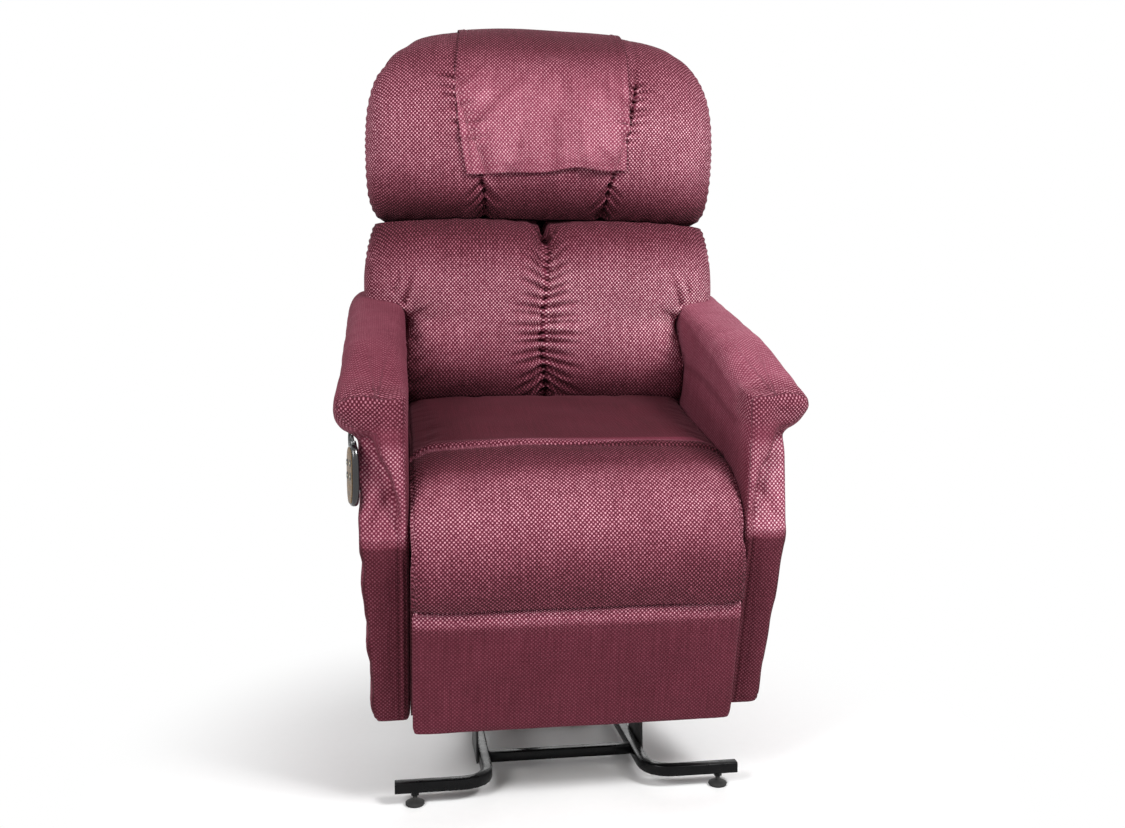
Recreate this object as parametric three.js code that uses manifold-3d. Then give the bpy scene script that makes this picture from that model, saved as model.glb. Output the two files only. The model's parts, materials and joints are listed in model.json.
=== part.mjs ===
// Power lift recliner chair, millimetres, +Z up, the front of the chair towards -Y.
// The upholstered chair is drawn level, as it sits on its base ("chair frame"), and one group then
// carries it to the half-risen pose: raised by the lift arms and tipped forward.
import * as THREE from 'three';
import { mergeVertices } from 'three/addons/utils/BufferGeometryUtils.js';
import Module from 'manifold-3d';

const wasm = await Module();
wasm.setup();

// ---------------------------------------------------------------- driving dimensions
const CLEAR = 0.3;             // gap kept between two touching pieces
const WELD = 1;                // how far two welded shapes run into each other

// Lift geometry: side view points are [y, z]
const LIFT_ANGLE = 40.52;      // turn of the lift arms from seated to the modelled pose, degrees
const TILT_RATIO = 0.3948;     // chair tilt per degree of lift arm
const ARM_BASE_PIVOT = [-230, 120];
const ARM_CHAIR_PIVOT = [100, 127.5];
const FOLLOWER_BASE_PIVOT = [-181.6, 156.3];
const FOLLOWER_CHAIR_PIVOT = [262.4, 195.7];
const LIFT_MOTOR_PIVOT = [205, 62];
const LIFT_LEVER_PIN = [-225, 205];
const FOLLOWER_SLACK = 1;      // extra clearance where each closed chain of links is left open
const CONTROL_SLACK = 1;
const DRAG_SLACK = 2.5;

// Floor base
const TUBE = 19;               // outside of the square base tube
const TUBE_WALL = 2;
const TUBE_CORNER = 3;
const BASE_UNDERSIDE = 22;
const RAIL_X = 136;            // centre of each long rail
const FRONT_ARM_Y = -357;      // centre of the front cross arms
const BASE_TIP_X = 292;
const BEND_RADIUS = 50;
const REAR_BAR_Y = 262;
const FRONT_CROSSBAR_Y = -249;
const FOOT_X = 259;
const FOOT_RADIUS = 16;
const FOOT_PAD_HEIGHT = 9;
const STEM_RADIUS = 4;
const STEM_TOP = 33;
const WELD_NUT_HEIGHT = 5;
const WELD_NUT_RADIUS = 7.5;
const PLATE = 4;               // lift bracket and chair side plate
const LINK = 6;                // thickness of a lift link
const LINK_HALF_WIDTH = 15;
const LINK_GAP = 2;            // side gap between a link and its plate
const PIN_RADIUS = 8;
const PIN_HEAD = 3;
const TORSION_RADIUS = 14;
const BRACKET_REACH = 22;      // from a pivot to the edge of its bracket
const BRACKET_FLARE = 6;
const SIDE_PLATE_REACH = 20;

// Power supply on its tray, between the rails
const SUPPLY_X = [40, 110];
const SUPPLY_Y = [40, 174];
const SUPPLY_HEIGHT = 40;
const TRAY_THICK = 2;
const TRAY_STRAPS = [[44, 74], [140, 170]];
const INLET_WIDTH = 26;
const INLET_DEPTH = 8;
const INLET_Z = [12, 28];

// Lift motor: housing tube with its motor can, and the push rod
const LIFT_MOTOR_X = -45;
const HOUSING_RADIUS = 24;
const HOUSING_BORE = 19;
const HOUSING_START = 26;
const HOUSING_END = 300;
const ROD_RADIUS = 10;
const ROD_TAIL = 150;          // distance of the rod's inner end from its motor pivot
const MOTOR_CAN_RADIUS = 22;
const MOTOR_CAN_LENGTH = 105;
const MOTOR_CAN_START = 38;
const GEARBOX = [37, 83];      // along the housing
const HOUSING_BORE_START = 96;
const EYE_RADIUS = 12;
const EYE_WIDTH = 12;
const ROD_EYE_WIDTH = 20;
const ACTUATOR_PIN = 5;

// Seat frame under the cushion, chair frame
const FRAME_TUBE = 25;
const FRAME_BOTTOM = 295;
const SEAT_RAIL_X = 212.5;
const SEAT_RAIL_FRONT = -288;
const SEAT_RAIL_REAR = 270;
const FRONT_TUBE_Y = -274;
const MID_TUBE_Y = -100;
const REAR_TUBE_Y = 215;
const ARM_TABS = [-170, 170];   // y of the tabs that carry the arms
const ARM_TAB_HALF = 20;
const SPRING_WIRE = 1.8;
const SPRING_COUNT = 4;
const SPRING_SPACING = 95;
const SPRING_SWING = 20;
const SPRING_BENDS = 8;
const SPRING_TIES = [-160, 100];
const HINGE_PIN = 6;
const HINGE_EAR = 12;          // from the hinge pin to the edge of its ear

// Upholstery, chair frame
const ARM_INNER = 266;
const ARM_OUTER = 342;
const ARM_OUTER_BOTTOM = 326;
const ARM_FRONT = -328;
const ARM_FRONT_TOP = -262;
const ARM_REAR = 284;
const ARM_BOTTOM = 51;
const ARM_BREAK = 369;         // height where the front panel starts to lean back
const ARM_BODY_TOP = 520;
const ARM_PAD_TOP = 628;
const ARM_TIP_X = 377;
const ARM_TIP_Y = -284;
const ARM_EDGE = 6;            // soft edge round the arm's lower end
const PAD_OVERHANG = 30;        // the arm pad hangs over its arm by this, outwards
const PAD_TIP_ROUND = 4;
const PAD_FRONT_DROP = 36;
const PAD_FRONT_RISE = 12;
const PAD_INNER_LAP = 4;
const SEAT_SIDE_GAP = 4;       // between the seat cushion and each arm
const SEAT_TOP = 470;
const SEAT_REAR = 148;
const SEAT_FRONT = -374;
const SEAT_BOLSTER_BOTTOM = 265;
const SEAT_BOLSTER_REAR = -298;
const SEAT_CROWN = 12;
const SEAT_SEAM_Y = -190;
const SEAT_SEAM_HALF = 20;
const SEAT_SEAM_DEPTH = 6;
const SEAT_NOSE_HANDLES = [[-285, 470], [-362, 398]];
const SEAT_NOSE_LOW = 305;
const SEAT_REAR_ROLL = [50, 55];
const SEAT_CORNER = 12;
const SEAT_NOSE_ROLL = 26;
const VALANCE_TOP = 366;
const VALANCE_BOTTOM = 60;
const VALANCE_THICK = 6;
const VALANCE_HALF = 300;

// Back, in its own leaning frame: h up the back, w forwards from the cushions' rear plane
const BACK_LEAN = 12.2;
const BACK_ORIGIN = [250, 465];
const BACK_HINGE = [-85, -18]; // h, w
const LUMBAR_LOW = -60;
const LUMBAR_HIGH = 292;
const LUMBAR_SIDE_GAP = 10;    // between the lower cushion and each arm
const LUMBAR_HALF_HIGH = 331;
const LUMBAR_STEP = [140, 205]; // h where the cushion widens above the arms
const LUMBAR_DEPTH = 116;
const HEAD_LOW = 296;
const HEAD_HIGH = 660;
const HEAD_HALF = 331;
const HEAD_HALF_LOW = 306;
const HEAD_DEPTH = 112;
const POST_X = 234.5;
const POST_WIDTH = 25;
const POST_DEPTH = 34;
const POST_TOP = 600;
const POST_BOTTOM = -112;
const BACK_TOP_RAIL = [540, 600];
const BACK_LOWER_RAIL = [-40, 10];
const BACK_PANEL_THICK = 8;
const BACK_PANEL_LOW = -60;
const BACK_PANEL_HALF = 300;
const BACK_PANEL_TOP = 620;
const BACK_PANEL_CORNER = [80, 70];
const BACK_PANEL_STEP = [175, 215, 225];
const BACK_PANEL_SIDE_GAP = 12;
const COVER_HALF = 160;
const COVER_THICK = 2.4;
const COVER_GAP = 0.9;
const COVER_HEM = 380;         // height of the cover's front hem up the back
const COVER_TAIL = [[-38, 1], [-47, -10], [-56, -84]];
const COVER_FOLD = 2.5;
const COVER_WAVE = 4;
const HEAD_REAR_ROLL = 36;
const HEAD_SHOULDER = 86;

// Footrest linkage, chair frame
const DRIVE_PIVOT = [-250, 258];
const KNEE = [-77.8, 177.7];
const PANEL_PIVOT = [-322, 118];
const CONTROL_PIVOT = [-250.4, 218];
const CONTROL_TAIL = [-60.2, 112.4];
const DRAG_REAR = [-84.1, 193.9];
const DRAG_FRONT = [-315, 152.3];
const RECLINE_MOTOR_PIVOT = [120, 233];
const RECLINE_LEVER_PIN = [-242.1, 222.9];
const RECLINE_X = 45;
const RECLINE_ROD_RADIUS = 7;
const RECLINE_BORE = 18;
const RECLINE_HOUSING_RADIUS = 21;
const RECLINE_HOUSING_END = 250;
const FOOT_BRACKET_X = 206;    // centre plane of the brackets under the seat rails
const FOOT_PLATE = 4;
const FOOT_LINK = 5;
const FOOT_LINK_HALF = 12;
const FOOT_PIN = 5;
const DRIVE_TUBE_RADIUS = 12;
const PANEL_HALF = 250;
const PANEL_LOW = 52;
const PANEL_HIGH = 257;
const PANEL_REAR = -340;
const PANEL_BOARD = 16;
const PANEL_PAD = 18;
const PANEL_PAD_HALF = 258;
const PANEL_PAD_EDGE = 5;
const PANEL_PAD_DRAW = 7;
const PANEL_FLANGE = 24;
const PANEL_BRACKET_LAP = 40;

// Handset on the outside of the arm at -X
const HANDSET_PLACE = [-351, -287, 462];
const HANDSET_YAW = 15;
const HANDSET_WIDTH = 46;
const HANDSET_HEIGHT = 90;
const HANDSET_DEPTH = 18;
const HANDSET_CORNER = 12;
const HANDSET_RIM = 4;
const FACEPLATE = 1.6;
const BUTTON_RADIUS = 6;
const BUTTON_POCKET = 5;
const BUTTON_PROUD = 1.6;
const BUTTON_OFFSET = 9.5;
const BUTTON_ROWS = [6, 26];
const NECK_RADIUS = 5;
const NECK_LENGTH = 9;
const HOLDER_HALF = 16;
const HOLDER_HEIGHT = 22;
const CORD_RADIUS = 2.5;
const GROMMET = [-163, 502];   // y, z of the cord's way into the arm
const GROMMET_RADIUS = 7;
const GROMMET_LENGTH = 3.7;

// ---------------------------------------------------------------- colours
const finish = (color, roughness, metalness = 0) => ({ color, roughness, metalness });
const FABRIC = finish(0x7a3242, 0.9);
const PANEL_FABRIC = finish(0x6b2a3a, 0.9);
const BLACK_TUBE = finish(0x121212, 0.25, 0.3);
const BLACK_STEEL = finish(0x1c1c1e, 0.5, 0.4);
const BRIGHT_STEEL = finish(0xb9bcc0, 0.3, 1);
const RUBBER = finish(0x171717, 0.85);
const BLACK_PLASTIC = finish(0x1a1a1b, 0.45);
const BRONZE = finish(0x7b5a2a, 0.4, 0.3);
const BUTTON = finish(0x101010, 0.5);
const BOARD = finish(0xb08b5b, 0.8);

// ---------------------------------------------------------------- small tools
const rad = THREE.MathUtils.degToRad;
const SEAT_HALF = ARM_INNER - SEAT_SIDE_GAP;
const LUMBAR_HALF_LOW = ARM_INNER - LUMBAR_SIDE_GAP;
const SIDES = [['left', -1], ['right', 1]];

function turned([y, z], angle, [cy, cz] = [0, 0]) {
  const c = Math.cos(angle);
  const s = Math.sin(angle);
  return [cy + c * (y - cy) - s * (z - cz), cz + s * (y - cy) + c * (z - cz)];
}

function toManifold(geometry) {
  const plain = geometry.clone();
  plain.deleteAttribute('normal');
  plain.deleteAttribute('uv');
  const merged = mergeVertices(plain.index ? plain.toNonIndexed() : plain, 1e-4);
  return new wasm.Manifold(new wasm.Mesh({
    numProp: 3,
    vertProperties: new Float32Array(merged.attributes.position.array),
    triVerts: new Uint32Array(merged.index.array),
  }));
}

function toGeometry(manifold) {
  const mesh = manifold.getMesh();
  const geometry = new THREE.BufferGeometry();
  geometry.setAttribute('position', new THREE.BufferAttribute(new Float32Array(mesh.vertProperties), 3));
  geometry.setIndex(new THREE.BufferAttribute(new Uint32Array(mesh.triVerts), 1));
  return geometry;
}

function join(...geometries) {
  return toGeometry(geometries.map(toManifold).reduce((whole, next) => whole.add(next)));
}

function cut(geometry, ...tools) {
  const whole = toManifold(geometry);
  return toGeometry(tools.map(toManifold).reduce((rest, tool) => rest.subtract(tool), whole));
}

function box(x0, x1, y0, y1, z0, z1) {
  const geometry = new THREE.BoxGeometry(x1 - x0, y1 - y0, z1 - z0);
  return geometry.translate((x0 + x1) / 2, (y0 + y1) / 2, (z0 + z1) / 2);
}

// a round bar along X between two x values, through the side view point [y, z]
function roundX(radius, x0, x1, [y, z], steps = 14) {
  const geometry = new THREE.CylinderGeometry(radius, radius, Math.abs(x1 - x0), steps);
  return geometry.rotateZ(Math.PI / 2).translate((x0 + x1) / 2, y, z);
}

function roundZ(radius, x, y, z0, z1, steps = 14) {
  const geometry = new THREE.CylinderGeometry(radius, radius, z1 - z0, steps);
  return geometry.rotateX(Math.PI / 2).translate(x, y, (z0 + z1) / 2);
}

// a flat plate: an outline in the side view (y, z), with x as its thickness
function sidePlate(shape, x0, x1, curveSegments = 6) {
  const low = Math.min(x0, x1);
  const options = { depth: Math.abs(x1 - x0), bevelEnabled: false, curveSegments };
  const geometry = new THREE.ExtrudeGeometry(shape, options);
  const basis = new THREE.Matrix4().makeBasis(
    new THREE.Vector3(0, 1, 0), new THREE.Vector3(0, 0, 1), new THREE.Vector3(1, 0, 0));
  return geometry.applyMatrix4(basis).translate(low, 0, 0);
}

function polygon(points) {
  return new THREE.Shape(points.map(([a, b]) => new THREE.Vector2(a, b)));
}

function drill(shape, [a, b], radius) {
  const hole = new THREE.Path();
  hole.absarc(a, b, radius, 0, 2 * Math.PI, true);
  shape.holes.push(hole);
  return shape;
}

// the outline of a bar with round ends from a to b
function barShape(a, b, halfWidth) {
  const direction = Math.atan2(b[1] - a[1], b[0] - a[0]);
  const end = ([cy, cz], from) => Array.from({ length: 8 }, (_, i) => {
    const angle = from + (Math.PI * i) / 7;
    return [cy + halfWidth * Math.cos(angle), cz + halfWidth * Math.sin(angle)];
  });
  return polygon([...end(b, direction - Math.PI / 2), ...end(a, direction + Math.PI / 2)]);
}

function linkBar(a, b, halfWidth, x0, x1, holes) {
  const shape = barShape(a, b, halfWidth);
  holes.forEach(([point, radius]) => drill(shape, point, radius));
  return sidePlate(shape, x0, x1);
}

// a pin along X, with a head at its inner or outer end or none; side is -1 or 1
function headedPin(point, radius, inner, outer, headAt, side) {
  const shaft = roundX(radius, side * inner, side * outer, point, 14);
  if (headAt === 'none') return shaft;
  const headFrom = headAt === 'outer' ? outer : inner - PIN_HEAD;
  const lap = CLEAR / 2;
  const head = roundX(radius + PIN_HEAD, side * (headFrom - lap), side * (headFrom + PIN_HEAD), point, 14);
  return join(shaft, head);
}

function roundedSquare(size, corner) {
  const half = size / 2;
  const shape = new THREE.Shape();
  shape.moveTo(-half + corner, -half);
  shape.lineTo(half - corner, -half);
  shape.absarc(half - corner, -half + corner, corner, -Math.PI / 2, 0, false);
  shape.lineTo(half, half - corner);
  shape.absarc(half - corner, half - corner, corner, 0, Math.PI / 2, false);
  shape.lineTo(-half + corner, half);
  shape.absarc(-half + corner, half - corner, corner, Math.PI / 2, Math.PI, false);
  shape.lineTo(-half, -half + corner);
  shape.absarc(-half + corner, -half + corner, corner, Math.PI, 1.5 * Math.PI, false);
  return shape;
}

function tubeShape(size, corner, wall) {
  const shape = roundedSquare(size, corner);
  const bore = roundedSquare(size - 2 * wall, Math.max(corner - wall, 0.5));
  shape.holes.push(new THREE.Path(bore.getPoints(1).reverse()));
  return shape;
}

// a straight square tube along X between two x values
function tubeX(size, corner, wall, x0, x1, y, z) {
  const options = { depth: x1 - x0, bevelEnabled: false, curveSegments: 1 };
  const geometry = new THREE.ExtrudeGeometry(tubeShape(size, corner, wall), options);
  return geometry.rotateY(Math.PI / 2).translate(x0, y, z);
}

// rings of points joined into one closed skin; each end is closed by a fan, or by a flat face where
// the rings are side views that a fan can't fill
function loft(rings, flatEnds = false) {
  const count = rings[0].length;
  const positions = rings.flat().flatMap((p) => [p.x, p.y, p.z]);
  const index = [];
  for (let i = 0; i + 1 < rings.length; i += 1) {
    for (let j = 0; j < count; j += 1) {
      const a = i * count + j;
      const b = i * count + ((j + 1) % count);
      index.push(a, b, a + count, b, b + count, a + count);
    }
  }
  if (flatEnds) {
    const outline = rings[0].map((p) => new THREE.Vector2(p.y, p.z));
    const way = Math.sign(THREE.ShapeUtils.area(outline));
    const last = (rings.length - 1) * count;
    THREE.ShapeUtils.triangulateShape(outline, []).forEach((face) => {
      const sameWay = Math.sign(THREE.ShapeUtils.area(face.map((i) => outline[i]))) === way;
      const [a, b, c] = sameWay ? face : [...face].reverse();
      index.push(c, b, a, last + a, last + b, last + c);
    });
    return outward(positions, index);
  }
  [0, rings.length - 1].forEach((end) => {
    const centre = rings[end].reduce((sum, p) => sum.add(p), new THREE.Vector3()).divideScalar(count);
    const hub = positions.length / 3;
    positions.push(centre.x, centre.y, centre.z);
    for (let j = 0; j < count; j += 1) {
      const a = end * count + j;
      const b = end * count + ((j + 1) % count);
      index.push(...(end === 0 ? [hub, b, a] : [hub, a, b]));
    }
  });
  return outward(positions, index);
}

// turns a closed skin inside out when its faces point inwards
function outward(positions, index) {
  const geometry = new THREE.BufferGeometry();
  geometry.setAttribute('position', new THREE.Float32BufferAttribute(positions, 3));
  let volume = 0;
  const point = (i) => new THREE.Vector3(positions[3 * i], positions[3 * i + 1], positions[3 * i + 2]);
  for (let i = 0; i < index.length; i += 3) {
    volume += point(index[i]).dot(point(index[i + 1]).cross(point(index[i + 2])));
  }
  geometry.setIndex(volume > 0 ? index : index.reverse());
  return geometry;
}

// the superellipse between two corners of a rectangle, as 2D points
function roundedRing(a0, a1, b0, b1, power, count) {
  const half = [(a1 - a0) / 2, (b1 - b0) / 2];
  return Array.from({ length: count }, (_, i) => {
    const t = (2 * Math.PI * (i + 0.5)) / count;
    const curve = (v) => Math.sign(v) * Math.abs(v) ** (2 / power);
    return [(a0 + a1) / 2 + half[0] * curve(Math.cos(t)), (b0 + b1) / 2 + half[1] * curve(Math.sin(t))];
  });
}

// A cushion as two skins over the same outline, joined by a side wall. u runs -1..1 across,
// v runs 0..1 along; front and back give the depth of each skin, place puts (x, v, depth) in space.
function cushion({ columns, rows, half, front, back, place }) {
  const positions = [];
  [front, back].forEach((depth) => rows.forEach((v) => columns.forEach((u) => {
    const p = place(u * half(v), v, depth(u, v));
    positions.push(p.x, p.y, p.z);
  })));
  return twoSkins(positions, rows.length, columns.length);
}

// closes two grids of points, one above the other, into one skin with a strip round the rim
function twoSkins(positions, rows, columns) {
  const index = [];
  const under = rows * columns;
  for (let i = 0; i + 1 < rows; i += 1) {
    for (let j = 0; j + 1 < columns; j += 1) {
      const a = i * columns + j;
      const b = a + under;
      index.push(a, a + 1, a + columns, a + 1, a + columns + 1, a + columns);
      index.push(b, b + columns, b + 1, b + 1, b + columns, b + columns + 1);
    }
  }
  const rim = [];
  for (let j = 0; j < columns; j += 1) rim.push(j);
  for (let i = 1; i < rows; i += 1) rim.push(i * columns + columns - 1);
  for (let j = columns - 2; j >= 0; j -= 1) rim.push((rows - 1) * columns + j);
  for (let i = rows - 2; i > 0; i -= 1) rim.push(i * columns);
  rim.forEach((a, k) => {
    const b = rim[(k + 1) % rim.length];
    index.push(a, a + under, b, b, a + under, b + under);
  });
  return outward(positions, index);
}

const spread = (count, edge) => Array.from({ length: count }, (_, i) => {
  const t = (2 * i) / (count - 1) - 1;
  return Math.sign(t) * (1 - (1 - Math.abs(t)) ** edge);
});
const dome = (t, power) => Math.max(1 - Math.abs(t) ** power, 0) ** (1 / power);
const groove = (distance, width) => Math.exp(-((distance / width) ** 2));
const smooth = (t) => THREE.MathUtils.smoothstep(t, 0, 1);

// ---------------------------------------------------------------- where everything sits
const tilt = rad(LIFT_ANGLE * TILT_RATIO);
const lift = rad(LIFT_ANGLE);
const armChairPivotRisen = turned(ARM_CHAIR_PIVOT, lift, ARM_BASE_PIVOT);
const pivotFromTilt = turned(ARM_CHAIR_PIVOT, tilt);
const chairShift = [armChairPivotRisen[0] - pivotFromTilt[0], armChairPivotRisen[1] - pivotFromTilt[1]];
const followerChairPivotRisen = turned(FOLLOWER_CHAIR_PIVOT, tilt).map((v, i) => v + chairShift[i]);
const leverPinRisen = turned(LIFT_LEVER_PIN, lift, ARM_BASE_PIVOT);

const chair = new THREE.Group();
const base = new THREE.Group();
const seated = new THREE.Group();
seated.position.set(0, chairShift[0], chairShift[1]);
seated.rotation.x = tilt;
chair.add(base, seated);

function add(group, name, geometry, material) {
  const mesh = new THREE.Mesh(geometry, new THREE.MeshStandardMaterial(material));
  mesh.name = name;
  group.add(mesh);
  return mesh;
}

// ---------------------------------------------------------------- floor base
const tubeMid = BASE_UNDERSIDE + TUBE / 2;
const tubeTop = BASE_UNDERSIDE + TUBE;
const railOuter = RAIL_X + TUBE / 2;
const railRear = REAR_BAR_Y - TUBE / 2 - CLEAR;
const bracketX = railOuter + CLEAR;
const plateX = [bracketX, bracketX + PLATE];
const armX = [plateX[0] - LINK_GAP - LINK, plateX[0] - LINK_GAP];
const followerX = [plateX[1] + LINK_GAP, plateX[1] + LINK_GAP + LINK];

function railPath(side) {
  const path = new THREE.CurvePath();
  const at = (x, y) => new THREE.Vector3(side * x, y, tubeMid);
  const bendStart = FRONT_ARM_Y + BEND_RADIUS;
  path.add(new THREE.LineCurve3(at(RAIL_X, railRear), at(RAIL_X, bendStart)));
  const corner = at(RAIL_X, FRONT_ARM_Y);
  const bendEnd = at(RAIL_X + BEND_RADIUS, FRONT_ARM_Y);
  path.add(new THREE.QuadraticBezierCurve3(at(RAIL_X, bendStart), corner, bendEnd));
  path.add(new THREE.LineCurve3(at(RAIL_X + BEND_RADIUS, FRONT_ARM_Y), at(BASE_TIP_X, FRONT_ARM_Y)));
  return path;
}

// the long rail with its bend and front arm: straight tubes joined by a row of short ones
function railRings(side, size, corner) {
  const path = railPath(side);
  const section = roundedSquare(size, corner).getPoints(1);
  const bendSteps = 6;
  const stations = [0];
  const length = path.getLength();
  const bendFrom = path.curves[0].getLength() / length;
  const bendTo = (path.curves[0].getLength() + path.curves[1].getLength()) / length;
  for (let i = 0; i <= bendSteps; i += 1) stations.push(bendFrom + ((bendTo - bendFrom) * i) / bendSteps);
  stations.push(1);
  return stations.map((t) => {
    const at = path.getPointAt(t);
    const along = path.getTangentAt(t);
    const across = new THREE.Vector3(-along.y, along.x, 0).normalize();
    return section.map((p) => at.clone().addScaledVector(across, p.x).add(new THREE.Vector3(0, 0, p.y)));
  });
}

// the weld nut under the tube that takes the stem of a foot
function weldNut(x, y) {
  const low = BASE_UNDERSIDE - WELD_NUT_HEIGHT;
  return roundZ(WELD_NUT_RADIUS, x, y, low, BASE_UNDERSIDE + TUBE_WALL / 2, 6);
}

function footHole(x, y) {
  return roundZ(STEM_RADIUS + CLEAR, x, y, 0, BASE_UNDERSIDE + TUBE_WALL + 1, 14);
}

function baseRail(side) {
  const skin = loft(railRings(side, TUBE, TUBE_CORNER));
  const bore = loft(railRings(side, TUBE - 2 * TUBE_WALL, TUBE_CORNER - TUBE_WALL).map((ring, i, all) => {
    const past = i === 0 ? new THREE.Vector3(0, 1, 0) : new THREE.Vector3(-side * TUBE_WALL, 0, 0);
    return i === 0 || i === all.length - 1 ? ring.map((p) => p.clone().add(past)) : ring;
  }));
  const hollow = cut(skin, bore);
  return cut(join(hollow, weldNut(side * FOOT_X, FRONT_ARM_Y)), footHole(side * FOOT_X, FRONT_ARM_Y));
}

SIDES.forEach(([name, side]) => add(base, `base_rail_${name}`, baseRail(side), BLACK_TUBE));

const crossbarHalf = RAIL_X - TUBE / 2 - CLEAR;
add(base, 'base_front_crossbar',
  tubeX(TUBE - WELD, TUBE_CORNER, TUBE_WALL, -crossbarHalf, crossbarHalf, FRONT_CROSSBAR_Y, tubeMid),
  BLACK_TUBE);

// rear crossbar with closed tips and the welded clevis that holds the lift motor
function rearCrossbar() {
  const solidBar = new THREE.ExtrudeGeometry(roundedSquare(TUBE, TUBE_CORNER),
    { depth: 2 * BASE_TIP_X, bevelEnabled: false, curveSegments: 1 });
  const boreHalf = BASE_TIP_X - TUBE_WALL;
  const bore = new THREE.ExtrudeGeometry(roundedSquare(TUBE - 2 * TUBE_WALL, TUBE_CORNER - TUBE_WALL),
    { depth: 2 * boreHalf, bevelEnabled: false, curveSegments: 1 });
  const bar = cut(solidBar.rotateY(Math.PI / 2).translate(-BASE_TIP_X, REAR_BAR_Y, tubeMid),
    bore.rotateY(Math.PI / 2).translate(-boreHalf, REAR_BAR_Y, tubeMid));
  const nuts = SIDES.map(([, side]) => weldNut(side * FOOT_X, REAR_BAR_Y));
  const [py, pz] = LIFT_MOTOR_PIVOT;
  const barFront = REAR_BAR_Y - TUBE / 2;
  const ear = () => polygon([
    [barFront + WELD, BASE_UNDERSIDE + TUBE_CORNER], [barFront + WELD, tubeTop - TUBE_CORNER],
    [py + EYE_RADIUS, pz + EYE_RADIUS],
    [py - EYE_RADIUS / 2, pz + EYE_RADIUS], [py - EYE_RADIUS, pz], [py - EYE_RADIUS / 2, pz - EYE_RADIUS],
  ]);
  const inner = EYE_WIDTH / 2 + CLEAR;
  const ears = [-1, 1].map((side) => sidePlate(
    ear(), LIFT_MOTOR_X + side * inner, LIFT_MOTOR_X + side * (inner + PLATE)));
  const pinHalf = inner + PLATE + 2 * WELD;
  const pin = roundX(ACTUATOR_PIN, LIFT_MOTOR_X - pinHalf, LIFT_MOTOR_X + pinHalf, LIFT_MOTOR_PIVOT, 14);
  return cut(join(bar, ...nuts, ...ears, pin), footHole(-FOOT_X, REAR_BAR_Y), footHole(FOOT_X, REAR_BAR_Y));
}
add(base, 'base_rear_crossbar', rearCrossbar(), BLACK_TUBE);

// levelling feet: a pad with its threaded stem
const footPlaces = [['front', FRONT_ARM_Y], ['rear', REAR_BAR_Y]].flatMap(
  ([end, y]) => SIDES.map(([name, side]) => [`foot_${end}_${name}`, side * FOOT_X, y]));

function foot(x, y) {
  const profile = [[0, 0], [FOOT_RADIUS - 1.5, 0], [FOOT_RADIUS, 1.5], [FOOT_RADIUS, 5],
    [STEM_RADIUS + 4, FOOT_PAD_HEIGHT], [STEM_RADIUS, FOOT_PAD_HEIGHT], [STEM_RADIUS, STEM_TOP - 1],
    [STEM_RADIUS - 1, STEM_TOP], [0, STEM_TOP]].map(([r, z]) => new THREE.Vector2(r, z));
  return new THREE.LatheGeometry(profile, 14).rotateX(Math.PI / 2).translate(x, y, 0);
}

footPlaces.forEach(([name, x, y]) => add(base, name, foot(x, y), RUBBER));

// brackets on the rails, with the pins that carry the lift arms and the followers
function liftBracket(side) {
  const [ay, az] = ARM_BASE_PIVOT;
  const [fy, fz] = FOLLOWER_BASE_PIVOT;
  const reach = BRACKET_REACH;
  const low = BASE_UNDERSIDE + WELD;
  const outline = polygon([
    [ay - reach - BRACKET_FLARE, low], [fy + reach + BRACKET_FLARE, low], [fy + reach, tubeTop + reach],
    [fy + reach, fz + reach / 2], [fy + reach / 2, fz + reach], [fy - reach / 2, fz + reach],
    [ay - reach, az + reach / 2], [ay - reach, az - reach / 2],
  ]);
  return join(sidePlate(outline, side * plateX[0], side * plateX[1]),
    headedPin(ARM_BASE_PIVOT, PIN_RADIUS, armX[0] + 2 * CLEAR, plateX[1] - WELD, 'none', side),
    headedPin(FOLLOWER_BASE_PIVOT, PIN_RADIUS, plateX[0] + WELD, followerX[1] + CLEAR, 'outer', side));
}
SIDES.forEach(([name, side]) => add(base, `lift_bracket_${name}`, liftBracket(side), BLACK_STEEL));

// power supply on its tray across the rails, with a two-pole inlet for the mains lead
function powerSupply() {
  const floor = tubeTop + CLEAR;
  const straps = TRAY_STRAPS.map(
    ([front, rear]) => box(-RAIL_X, RAIL_X, front, rear, floor, floor + TRAY_THICK));
  const top = floor + TRAY_THICK + SUPPLY_HEIGHT;
  const body = box(...SUPPLY_X, ...SUPPLY_Y, floor + TRAY_THICK / 2, top);
  const inletX = (SUPPLY_X[0] + SUPPLY_X[1] - INLET_WIDTH) / 2;
  const inletFront = SUPPLY_Y[1] - INLET_DEPTH;
  const inlet = box(inletX, inletX + INLET_WIDTH, inletFront, SUPPLY_Y[1] + WELD,
    floor + INLET_Z[0], floor + INLET_Z[1]);
  return cut(join(...straps, body), inlet);
}
add(base, 'power_supply', powerSupply(), BLACK_PLASTIC);

// ---------------------------------------------------------------- lift linkage
function liftArm() {
  const hole = PIN_RADIUS + CLEAR;
  const bars = SIDES.map(([, side]) => linkBar(ARM_BASE_PIVOT, armChairPivotRisen, LINK_HALF_WIDTH,
    side * armX[0], side * armX[1], [[ARM_BASE_PIVOT, hole], [armChairPivotRisen, hole]]));
  const tube = roundX(TORSION_RADIUS, -armX[0] - 0.05, armX[0] + 0.05, ARM_BASE_PIVOT);
  const inner = ROD_EYE_WIDTH / 2 + 2 * CLEAR;
  const levers = [-1, 1].map((side) => linkBar(ARM_BASE_PIVOT, leverPinRisen, EYE_RADIUS,
    LIFT_MOTOR_X + side * inner, LIFT_MOTOR_X + side * (inner + PLATE), []));
  const pinHalf = inner + PLATE + 2 * WELD;
  const pin = roundX(ACTUATOR_PIN, LIFT_MOTOR_X - pinHalf, LIFT_MOTOR_X + pinHalf, leverPinRisen, 14);
  return join(...bars, tube, ...levers, pin);
}
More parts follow.
